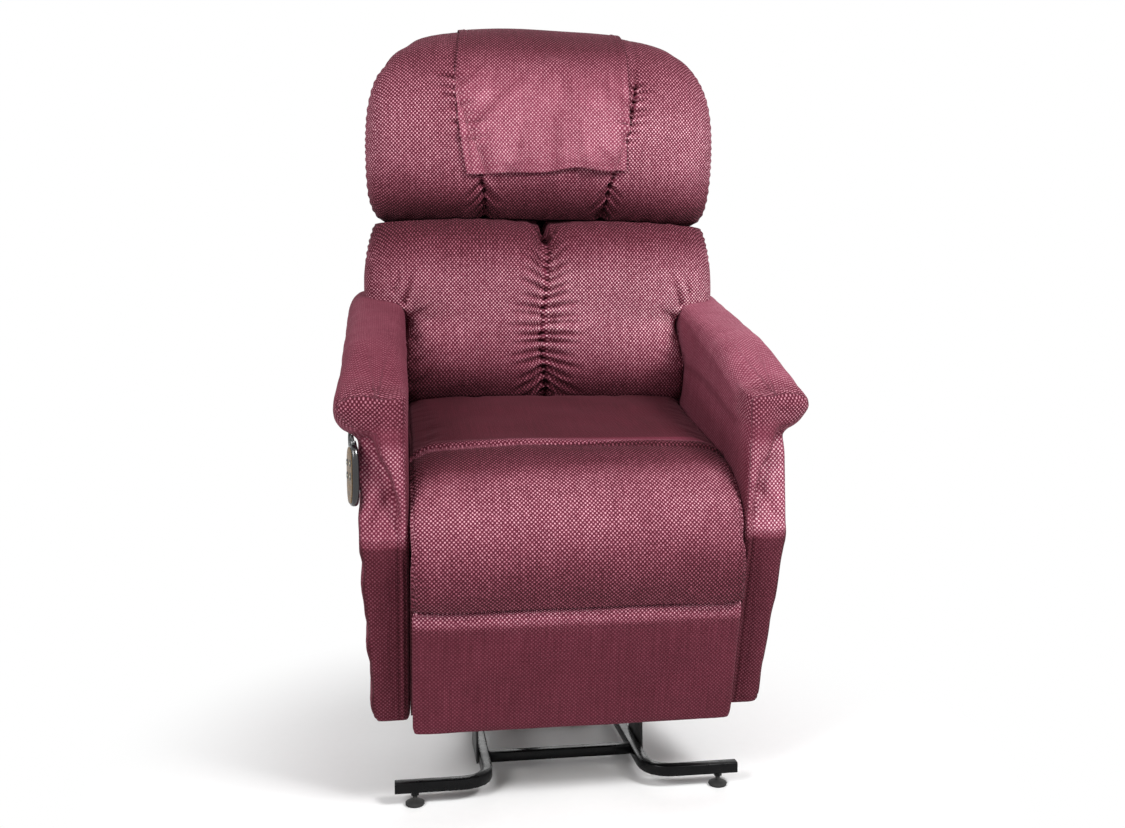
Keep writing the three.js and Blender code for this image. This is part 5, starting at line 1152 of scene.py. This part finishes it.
def make_cover(headrest):
    """A hemmed cloth laid over the cushion: its front lies on it, its tail hangs behind."""
    tree = BVHTree.FromObject(headrest, bpy.context.evaluated_depsgraph_get())
    columns, front_rows, roll_rows, tail_rows = 85, 68, 34, 14
    x = COVER_MIDDLE + np.linspace(-COVER_HALF, COVER_HALF, columns)
    heights = np.linspace(COVER_HEM, COVER_ROLL[0], front_rows, endpoint=False)
    rays = [((h, 420.0), (0.0, -1.0)) for h in heights]
    for angle in np.linspace(0, radians(COVER_TURN), roll_rows):
        way = (sin(angle), cos(angle))
        rays.append(((COVER_ROLL[0] + 300 * way[0], COVER_ROLL[1] + 300 * way[1]), (-way[0], -way[1])))
    lines = []
    for (h0, w0), (dh, dw) in rays:
        row = []
        for across in x:
            start, end = risen(on_back([[across, h0, w0], [across, h0 + dh, w0 + dw]]))
            hit = tree.ray_cast(Vector(start), (Vector(end) - Vector(start)).normalized(), 0.6)[0]
            row.append(off_back(levelled(np.array(hit if hit else end))))
        lines.append(row)
    skin = np.array(lines)
    for _ in range(3):
        skin[1:-1] = (skin[:-2] + 2 * skin[1:-1] + skin[2:]) / 4
        skin[:, 1:-1] = (skin[:, :-2] + 2 * skin[:, 1:-1] + skin[:, 2:]) / 4
    last = skin[-1]
    drop = np.linspace(0, 1, tail_rows + 1)[1:, None]
    tail = np.stack([np.repeat(last[None, :, 0], tail_rows, 0),
                     last[:, 1] + (COVER_TAIL[0] - last[:, 1]) * drop,
                     last[:, 2] + (COVER_TAIL[1] - last[:, 2]) * np.minimum(1, drop * 3)], -1)
    skin = np.concatenate([skin, tail])
    rows = len(skin)
    along = np.concatenate([[0], np.cumsum(np.linalg.norm(np.diff(skin[:, columns // 2], axis=0), axis=1))])
    s, across = np.meshgrid(along, x - COVER_MIDDLE, indexing="ij")
    ways = np.gradient(skin, axis=0), np.gradient(skin, axis=1)
    normal = np.cross(ways[1], ways[0])
    normal /= np.linalg.norm(normal, axis=-1, keepdims=True)
    normal *= np.where(normal[: rows // 3, :, 2].mean() > 0, 1, -1)
    loose = 1 - smooth((s - 60) / 190)
    lift = 2.6 + np.maximum(-creases(across, s, COVER_FANS), 0)
    lift += 6.0 * loose * groove(across - 85, 42) * smooth((60 - s) / 60)
    lift += 0.9 * (1 + np.sin(across / 17)) * loose
    hem_wave = 12.0 * groove(across - 66, 46) - 5.0 * smooth((-60 - across) / 90)
    hem_wave += 7.0 * smooth((across - 90) / 50)
    skin[..., 1] += hem_wave * smooth((50 - s) / 50)
    skin[..., 0] += np.interp(s, [0, 60, 130, 245, 290], [17, 4, -4, 5, 10]) * smooth((-20 - across) / 140)
    hem = np.minimum.reduce([s, COVER_HALF - np.abs(across), along[-1] - s])
    lift += 0.8 * smooth((13 - hem) / 2) - 0.5 * groove(hem - 14, 1.6)
    skin[..., 1] += 0.7 * np.sin(2 * pi * across / WEAVE_CELL[0]) * smooth((7 - s) / 5)
    outer = skin + normal * (lift + COVER_THICK)[..., None]
    inner = skin + normal * lift[..., None]
    piece = two_skins("headrest_cloth", risen(on_back(outer)), risen(on_back(inner)), WINE)
    layout = two_sided(np.stack([across, s], -1))
    # Painted light and shade: bands down the cloth, the painted fold shading, and painted shade along the
    # hem's fold.
    painted_light = np.interp(s, *COVER_PAINTED_LIGHT)
    painted_light *= painted_crease_shade(creases(across, s, COVER_PAINTED_FOLD_SHADING), 0.034) * (1 - 0.3 * groove(hem - 14, 1.2))
    dots = 0.5 + 0.35 * smooth((s - 150) / 60)
    lay_cloth(piece, layout, layout, two_sided(dots), two_sided(painted_light), side_from=2)
    dressed(piece, "back", "wine_fabric", "headrest_cover")
    row = int(np.argmin(np.abs(along - 11)))
    column = int(np.argmin(np.abs(x - COVER_MIDDLE - COVER_HALF + 11)))
    other = columns - 1 - column
    lying = outer + normal * 0.3
    edge_line = np.concatenate([lying[:row:-1, other], lying[row, other:column], lying[row:, column]])
    grown("headrest_cloth_stitches", risen(on_back(edge_line)), STITCHES, THREAD, "back", "wine_fabric",
          Spacing=0.0042, Radius=0.00045, Stretch=2.6)


# ---------------------------------------------------------------- arms


def rounded_ring(x0, x1, y0, y1, inner_radius, outer_radius, count=12):
    """A rectangle with round corners, anticlockwise; the corners at its x0 side are sharper."""
    corners = [(x1, y0, -90, outer_radius), (x1, y1, 0, outer_radius),
               (x0, y1, 90, inner_radius), (x0, y0, 180, inner_radius)]
    turns = np.radians(np.linspace(0, 90, count))
    ring = []
    for cx, cy, start, radius in corners:
        cx += radius if cx == x0 else -radius
        cy += radius if cy == y0 else -radius
        angles = turns + radians(start)
        ring.append(np.stack([cx + radius * np.cos(angles), cy + radius * np.sin(angles)], -1))
    return np.concatenate(ring)


def super_ring(x0, x1, z0, z1, power, count):
    c, s = squared_circle(count, power, 0.5)
    return np.stack([(x0 + x1) / 2 + (x1 - x0) / 2 * c, (z0 + z1) / 2 + (z1 - z0) / 2 * s], -1)


def panel_front(z):
    """y of the arm's front panel: upright below the break, leaning back above it."""
    share = np.maximum((z - ARM_BREAK) / (ARM_BODY_TOP - ARM_BREAK), 0)
    return ARM_FRONT + (ARM_FRONT_TOP - ARM_FRONT) * share


def roll_width(z):
    """Width of the padded roll up the inner edge of the arm's front."""
    return np.interp(z, [300, 372, 398, 428, 450, 467, 484, 501, 540], [16, 17, 19, 23, 26, 29, 39, 50, 58])


def arm_outer(z):
    """x of the arm's outside, which leans out up to the break."""
    share = np.minimum((z - ARM_BOTTOM) / (ARM_BREAK - ARM_BOTTOM), 1)
    return ARM_OUTER_BOTTOM + (ARM_OUTER - ARM_OUTER_BOTTOM) * share


def arm_parts(side):
    """Rings of the arm's body, of its flared pad and of the padded roll up its front."""
    levels = [(ARM_BOTTOM, 5), (ARM_BOTTOM + 3, 1.5), (ARM_BOTTOM + 8, 0), (200, 0), (ARM_BREAK - 12, 0),
              (ARM_BREAK, 0), (ARM_BREAK + 16, 0), (430, 0), (490, 0), (548, 4)]
    body = [[(side * x, y, z) for x, y in rounded_ring(ARM_INNER + inset - 1, arm_outer(z) - inset,
                                                       panel_front(z) + inset, ARM_REAR - inset, 4, 11)]
            for z, inset in levels]
    stations = np.concatenate([[0, 0.006, 0.018, 0.035, 0.06], np.linspace(0.1, 0.9, 17), [0.95, 0.985, 1]])
    ends = np.interp(stations, [0, 0.006, 0.018, 0.035, 0.06, 0.1, 0.9, 0.95, 0.985, 1],
                     [0.5, 0.68, 0.84, 0.94, 0.985, 1, 1, 0.985, 0.93, 0.78])
    pad = []
    for t, end in zip(stations, ends):
        y = ARM_TIP_Y + (ARM_REAR - ARM_TIP_Y) * t
        forward = 1 - smooth(t / 0.45)
        outer = ARM_OUTER + PAD_OVERHANG + PAD_FLARE * forward**1.6
        top = ARM_PAD_TOP - PAD_FRONT_DROP * forward**1.3
        bottom = ARM_BODY_TOP + 6 * (1 - smooth(t / 0.06)) - 14 * smooth((t - 0.02) / 0.1)
        inner = ARM_INNER - 3
        mid = ((inner + outer) / 2, (bottom + top) / 2)
        half = ((outer - inner) / 2 * end, (top - bottom) / 2 * end)
        box = (mid[0] - half[0], mid[0] + half[0], mid[1] - half[1], mid[1] + half[1])
        ring = super_ring(*box, PAD_POWER, 40)
        square = super_ring(*box, PAD_POWER + 2.4 * smooth((t - 0.4) / 0.4), 40)
        ring = np.where(ring[:, :1] < mid[0], square, ring)
        nose = 24 * (1 - smooth(t / 0.16)) * np.maximum((ring[:, 0] - mid[0]) / half[0], 0) ** 2
        ring[:, 1] += nose * smooth((mid[1] + 12 - ring[:, 1]) / half[1])
        pad.append([(side * x, y, z) for x, z in ring])
    roll = []
    for z in np.linspace(ARM_BREAK - 60, ARM_ROLL_TOP, 22):
        t = np.clip((z - ARM_BREAK) / (ARM_ROLL_TOP - ARM_BREAK), 0, 1)
        inner, front = ARM_INNER - 1, ARM_FRONT - 1 + 42 * t**1.5
        ring = super_ring(inner, inner + roll_width(z) - 2, front, front + 90, 2.6, 28)
        roll.append([(side * x, y, z) for x, y in ring])
    return body, pad, roll


def make_arm(name, side):
    parts = [loft(f"{name}_form", risen(np.array(rings)), WINE) for rings in arm_parts(side)]
    piece = joined(f"{name}_cover", *parts)
    remeshed(piece, ARM_VOXEL, 8)
    level = chair_points(piece)
    level[:, 0] = side * np.maximum(side * level[:, 0], ARM_INNER - 1.2)
    level[:, 1] = np.minimum(level[:, 1], ARM_REAR)
    level[:, 2] = np.maximum(level[:, 2], ARM_BOTTOM)
    move_points(piece, risen(level))
    finer(piece)
    level, normal = chair_points(piece), normals_of(piece)
    x, y, z = level.T
    x = x * side
    front = smooth((-normal[:, 1] - 0.3) / 0.3)
    outside = smooth((normal[:, 0] * side - 0.4) / 0.3)
    roll_edge = ARM_INNER + roll_width(z)
    below_pad = smooth((530 - z) / 20)
    panel = front * below_pad
    second_seam = 2.6 * groove(x - roll_edge + 11, 2.4) * smooth((ARM_BREAK - z) / 40)
    depth = panel * (3.6 * groove(x - roll_edge, 2.6) + second_seam + 2.0 * groove(x - roll_edge - 7, 7))
    slant = creases(x, z, [((roll_edge.min() + 12, 446), (336, 378), 9, 9)]) * panel
    depth += 0.4 * slant
    depth += 1.4 * front * groove(z - ARM_BREAK, 5) * smooth((x - roll_edge) / 8)
    wave = np.sin(z / 15.5 + 0.8 * side) + 0.6 * np.sin(z / 8.7 + 2.2)
    forward = smooth((-y - 120) / 160)
    depth += outside * smooth((500 - z) / 60) * (1.6 * wave * forward * (1.0 if side < 0 else 0.15))
    depth += outside * 2.4 * groove(y - (panel_front(z) + 17), 3) * below_pad
    depth += outside * 1.5 * ripple(level, 170, 3.3 + side)
    pads = smooth((z - 535) / 20)
    fan = [((282 + 9 * i, -262 + 1.5 * abs(i - 5)), (286 + 8.2 * i, -222 + 7 * (i % 3)), 3.0, 2.4)
           for i in range(11)]
    depth += creases(x, y, fan) * pads * smooth((normal[:, 2] - 0.1) / 0.3)
    depth += 1.6 * ripple(level, 120, 6.0 + side) * pads
    depth += 1.5 * groove(z - (ARM_BOTTOM + 14), 2.0) * smooth(np.maximum(front, outside) * 2)
    pressed_in(piece, depth)
    tip = smooth((-y - 205) / 50) * pads
    knobs = groove(y - ARM_TIP_Y - 10, 11) * pads * smooth((x - 280) / 20)
    lower = smooth((ARM_BREAK - z) / 10)
    dots = 0.3 + 0.45 * tip + (0.4 - 0.3 * lower) * panel - 0.2 * outside + 0.8 * knobs
    # Painted light and shade: the leaning upper front lighter, the lower front and the outside darker, the
    # inner side darker low down, the right arm's top lighter and the left tip darker, as the light falls;
    # painted shade in the seams and the slanting fold.
    painted_light = 1.0 + 0.45 * smooth((z - ARM_BREAK) / 12) * panel - 0.45 * front * lower
    painted_light -= (0.22 if side < 0 else -0.1) * tip + 0.25 * outside * below_pad
    painted_light -= 0.37 * smooth((normal[:, 0] * -side - 0.5) / 0.3) * smooth((560 - z) / 80)
    painted_light *= 1 + (0.68 if side > 0 else -0.1) * smooth((normal[:, 2] + 0.2) / 0.5) * (1 - tip)
    seam_shade = (2.5 + 4 * lower) * groove(x - roll_edge, 2.6) + 5 * lower * groove(x - roll_edge + 8, 2)
    painted_light *= painted_crease_shade(slant + seam_shade * panel, 0.06)
    girth = arc_along(x, z, [(ARM_INNER, 0), (ARM_INNER, 590), (290, ARM_PAD_TOP), (330, ARM_PAD_TOP),
                             (375, 585), (345, 520), (343, 0)])
    faces_front = np.abs(normal[:, 1]) > 0.6
    wrapped = np.where(faces_front[:, None], np.stack([x, z], -1), np.stack([y, girth], -1))
    lay_cloth(piece, wrapped, wrapped, np.clip(dots, 0.2, 1.4), painted_light)
    return dressed(piece, "carriage", "wine_fabric", name, name.replace("arm", "arm_pad"), fill=0.6)


# ---------------------------------------------------------------- footrest panel


def make_footrest_pad():
    u, v = np.meshgrid(spread(61, 1.9), spread(37, 1.9))
    across = u * (PANEL_HALF - np.abs(v) ** 8)
    height = (PANEL_HIGH + PANEL_LOW) / 2 + v * ((PANEL_HIGH - PANEL_LOW) / 2 - 1)
    front = np.stack([across, PANEL_FRONT - 4 - 12 * dome(u, 5) * dome(v, 5), height], -1)
    back = np.stack([across, PANEL_FRONT + 0 * u, height], -1)
    piece = two_skins("footrest_panel_cover", risen(front), risen(back), WINE)
    remeshed(piece, PANEL_VOXEL, 4)
    level = chair_points(piece)
    level[:, 1] = np.minimum(level[:, 1], PANEL_FRONT)
    level[:, 2] = np.clip(level[:, 2], PANEL_LOW, PANEL_HIGH)
    level[:, 0] = np.clip(level[:, 0] * 1.008, -PANEL_HALF - 1, PANEL_HALF + 1)
    move_points(piece, risen(level))
    finer(piece)
    level, normal = chair_points(piece), normals_of(piece)
    x, y, z = level.T
    facing = smooth((-normal[:, 1] - 0.3) / 0.3)
    depth = facing * (1.6 * ripple(level, 160, 1.2) + 1.4 * groove(z - (PANEL_HIGH - 13), 3))
    depth += facing * 0.8 * np.cos(2 * pi * x / 15) * groove(z - (PANEL_HIGH - 13), 9)
    pressed_in(piece, depth)
    # Painted light and shade: the panel darker, its top band lighter.
    painted_light = 0.6 + 0.66 * smooth((z - (PANEL_HIGH - 34)) / 14)
    dots = 0.2 + 0.8 * smooth((z - (PANEL_HIGH - 50)) / 40)
    along = arc_along(y, z, [(PANEL_FRONT - 16, PANEL_LOW), (PANEL_FRONT - 16, PANEL_HIGH - 4),
                             (PANEL_FRONT - 12, PANEL_HIGH), (PANEL_FRONT, PANEL_HIGH)])
    lay_cloth(piece, np.stack([x, along], -1), np.stack([y, z], -1), dots, painted_light)
    dressed(piece, "footrest_panel", "panel_fabric", "footrest_pad", fill=0.5)


# ---------------------------------------------------------------- rear of the chair


def make_rear_panel():
    """The stretched cloth panel behind the back, over its board."""
    low, top, rear = -60.0, 620.0, -34.6
    narrow, wide = 252.0, 300.0
    step_low, step_high = 175.0, 225.0
    shoulder = top - 70
    rounding = shoulder + 70 * np.sin(np.linspace(0, pi / 2, 16)[1:])
    h = np.concatenate([np.linspace(low, shoulder, 46), rounding])
    half = narrow + (wide - narrow) * smooth((h - step_low) / (step_high - step_low))
    corner = np.maximum((h - shoulder) / 70, 0)
    half -= 80 * (1 - np.sqrt(np.maximum(1 - corner**2, 0)))
    u = spread(57, 1.5)
    x = u[None] * half[:, None]
    edge = np.minimum(half[:, None] - np.abs(x), np.minimum(h[:, None] - low, top - h[:, None]))
    outer = -4.0 - 4.0 * smooth(edge / 7) - 1.6 * groove(x / 150, 1) * groove((h[:, None] - 300) / 190, 1)
    layout = np.stack([x, np.repeat(h[:, None], len(u), 1)], -1)
    front = np.concatenate([layout, np.full(x.shape, rear)[..., None]], -1)
    back = np.concatenate([layout, (rear + outer)[..., None]], -1)
    piece = two_skins("rear_panel_cloth", risen(on_back(back)), risen(on_back(front)), WINE_SHADED)
    flat = two_sided(layout)
    # The last value is painted shade, slightly darkening the panel.
    lay_cloth(piece, flat, flat, 0.8, 0.92, side_from=2)
    dressed(piece, "back", "wine_fabric", "back_outer_panel", fill=0.3)
    inset = 2.0
    side = np.stack([half - inset, np.clip(h, low + inset, top - inset), np.full(len(h), rear - 3.6)], -1)
    border = np.concatenate([side, (side * (-1, 1, 1))[::-1]])
    grown("rear_panel_piping", risen(on_back(border)), PIPING, PIPING_CLOTH, "back", "wine_fabric",
          closed=True, Radius=0.0031)


def make_valance():
    """The loose cloth closing the rear of the seat, with soft upright waves and a hem."""
    columns, rows = 121, 40
    x = np.linspace(-VALANCE_HALF, VALANCE_HALF, columns)
    z = np.linspace(VALANCE_LOW, VALANCE_TOP, rows)
    gx, gz = np.meshgrid(x, z)
    hang = smooth((VALANCE_TOP - gz) / 240)
    wave = 2.1 * hang * (1 + np.sin(gx / 34 + 0.4 * np.sin(gx / 71)))
    hem = 0.7 * smooth((gz - VALANCE_LOW) / 3) * smooth((VALANCE_LOW + 18 - gz) / 3)
    outer = np.stack([gx, VALANCE_FRONT + 1.5 + wave + hem, gz], -1)
    inner = np.stack([gx, VALANCE_FRONT + wave, gz], -1)
    piece = two_skins("rear_valance_cloth", risen(outer), risen(inner), WINE_SHADED)
    flat = two_sided(np.stack([gx, gz], -1))
    # The last value is painted shade, darkening the valance under the seat's rear.
    lay_cloth(piece, flat, flat, 0.8, 0.85, side_from=2)
    dressed(piece, "carriage", "wine_fabric", "rear_valance")


def make_lining(name, side):
    """A strip of the same cloth inside the arm, closing the slit beside the footrest panel."""
    rings = []
    low, high = LINING_Z
    (inner, outer), (front, rear) = LINING_X, LINING_Y
    for z, inset in ((low, 1.5), (low + 2, 0), (160, 0), (high - 2, 0), (high, 1.5)):
        ring = rounded_ring(inner + inset, outer, front + inset, rear - inset, 1.6, 0.4)
        rings.append([(side * x, y, z) for x, y in ring])
    piece = loft(name, risen(np.array(rings)), WINE_SHADED)
    level = chair_points(piece)
    # Painted shade: a low gain darkens the strip, in the shade inside the slit.
    lay_cloth(piece, level[:, [0, 2]], level[:, 1:], 0.3, 0.5, side_from=0.6)
    dressed(piece, "carriage", "wine_fabric")


SIDES = {"left": -1, "right": 1}
for hand, side in SIDES.items():
    make_lining(f"arm_lining_{hand}", side)
make_lumbar([make_arm(f"arm_{hand}", side) for hand, side in SIDES.items()], make_seat())
make_cover(make_headrest())
make_footrest_pad()
make_rear_panel()
make_valance()

# ---------------------------------------------------------------- handset

HANDSET_PLACE = (-343.1, -285.6, 467)
HANDSET_TURN = Matrix.Rotation(radians(15), 3, "Z")
HANDSET_DEPTH = 11.2
HANDSET_HALF = (21, 47.5)          # half its width and half its height
FACE_HALF = (17.6, 43.5)
BUTTONS_IN = 16.4                  # how far the buttons are moved in, towards the arm


def on_handset(points):
    """World metres of points of the handset: x towards the arm, y its width, z its height."""
    return risen(HANDSET_PLACE) + np.asarray(points, float) @ np.array(HANDSET_TURN).T * MM


def oval(name, profile, half, material, rise=1.5):
    """A squarish oval form: its profile gives, for each depth x, how far the edge stands in."""
    c, s = squared_circle(48, 2.8)
    rings = [np.stack([0 * c + x, (half[0] - inset) * c, rise + (half[1] - inset) * s], -1)
             for x, inset in profile]
    return loft(name, on_handset(np.array(rings)), material)


def make_handset():
    depth = HANDSET_DEPTH
    shell = [(0, 4), (-0.6, 2.2), (-2, 0.8), (-4, 0), (-7, 0), (-9, 0.5), (-10.4, 1.6), (-depth, 3.4)]
    housing = oval("housing", shell, HANDSET_HALF, GLOSS_PLASTIC)
    turns = 2 * pi * np.arange(20) / 20
    sleeve = [(46, 6), (49, 5.6), (51, 5), (53.4, 4.5), (54, 4)]
    neck = [[(radius * cos(a) - depth / 2, radius * sin(a), z) for a in turns] for z, radius in sleeve]
    piece = joined("handset_shell", housing, loft("neck_sleeve", on_handset(np.array(neck)), GLOSS_PLASTIC))
    shade_smooth(piece, 50)
    dressed(piece, "carriage", "black_plastic", "handset_housing")
    plate = [(-depth + 0.4, 0.3), (-depth - 0.5, 0), (-depth - 0.9, 0.5), (-depth - 1.1, 2.5)]
    face = shade_smooth(oval("handset_face", plate, FACE_HALF, BRONZE), 50)
    dressed(face, "carriage", "bronze_plastic", "handset_faceplate")
    for number in range(1, 5):
        mark_button(number)


def mark_button(number):
    """A pale arrow on the button, up on the odd ones and down on the even ones."""
    button = frame["nodes"][f"handset_button_{number}"]
    world = np.array([button.matrix_world @ v.co for v in button.data.vertices])
    local = (world - risen(HANDSET_PLACE)) / MM @ np.array(HANDSET_TURN)
    centre, face = local.mean(0), local[:, 0].min() + BUTTONS_IN
    way = 1 if number % 2 else -1
    arrow = [(-2.6, -1.2), (2.6, -1.2), (0, 2.6)]
    rings = [[(face + x, centre[1] + a, centre[2] + way * b) for a, b in arrow] for x in (0.1, -0.15)]
    mark = loft(f"handset_mark_{number}", on_handset(np.array(rings)), PALE_PRINT)
    dressed(mark, f"handset_button_{number}", "button_plastic")


make_handset()

# ---------------------------------------------------------------- steelwork and boards


def refined(name, slot, bevel):
    """The CAD part with its edges broken and its round faces shaded smooth."""
    body = frame["nodes"][name]["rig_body"]
    shape = bmesh.new()
    shape.from_mesh(frame["nodes"][name].data)
    if name.startswith("handset_button"):
        bmesh.ops.translate(shape, verts=shape.verts, vec=HANDSET_TURN @ Vector((BUTTONS_IN * MM, 0, 0)))
    bmesh.ops.remove_doubles(shape, verts=shape.verts, dist=1e-6)
    bmesh.ops.dissolve_limit(shape, angle_limit=radians(1), verts=shape.verts, edges=shape.edges)
    mesh = bpy.data.meshes.new(f"{name}_part")
    shape.to_mesh(mesh)
    shape.free()
    mesh.materials.clear()
    mesh.materials.append(FINISHES[slot])
    piece = placed(f"{name}_part", mesh)
    modified(piece, "BEVEL", width=bevel * MM, segments=2, limit_method="ANGLE", angle_limit=radians(40))
    shade_smooth(piece, 32)
    if slot == "wine_fabric":
        level = chair_points(piece)
        # Painted shade: a gain below one darkens the cloth-covered posts and rails.
        lay_cloth(piece, level[:, [0, 2]], level[:, 1:], 0.6, 0.7)
    dressed(piece, body, slot, name)


def bolted(name, body, plate, pivots):
    """Hexagon heads on both sides of the chair, outside a plate, at its pivots (y, z) in millimetres."""
    part = frame["nodes"][plate]
    face = max(abs((part.matrix_world @ v.co)[0]) for v in part.data.vertices) / MM
    heads = np.array([(side * face, y, z) for side in (-1, 1) for y, z in pivots])
    facing = np.sign(heads) * (1, 0, 0)
    grown(name, heads * MM, BOLTS, BRIGHT_STEEL, body, "bright_steel", facing=facing,
          Radius=0.007, Height=0.0055)


SOFT = {"seat_cushion", "lumbar_cushion", "headrest_cushion", "headrest_cover", "arm_left", "arm_right",
        "arm_pad_left", "arm_pad_right", "footrest_pad", "back_outer_panel", "rear_valance", "handset_cord",
        "handset_housing", "handset_faceplate"}
SLOTS = {
    "black_tube": ["base_"], "bright_steel": ["lift_push_rod", "recline_push_rod", "seat_springs"],
    "rubber": ["foot_front", "foot_rear", "cord_grommet"],
    "black_plastic": ["power_supply", "lift_motor", "recline_motor", "handset_holder"],
    "button_plastic": ["handset_button"], "board": ["footrest_board", "back_lower_rail"],
    "wine_fabric": ["back_post", "back_top_rail"],
}

TUBE_CORNER, PLATE_EDGE = 2.4, 0.7
for part in sorted(set(frame["nodes"]) - SOFT):
    kinds = [slot for slot, starts in SLOTS.items() if part.startswith(tuple(starts))]
    bevel = TUBE_CORNER if part.startswith("base_") else PLATE_EDGE
    refined(part, kinds[0] if kinds else "black_steel", bevel)

BASE_PIVOTS = ((-122.8, 120), (-74.4, 156.3))
CARRIAGE_PIVOTS = ((123.1, 340.1), (260.5, 450.4))
bolted("base_pivot_bolts", "base", "lift_bracket_left", BASE_PIVOTS)
bolted("carriage_pivot_bolts", "carriage", "chair_side_plate_left", CARRIAGE_PIVOTS)
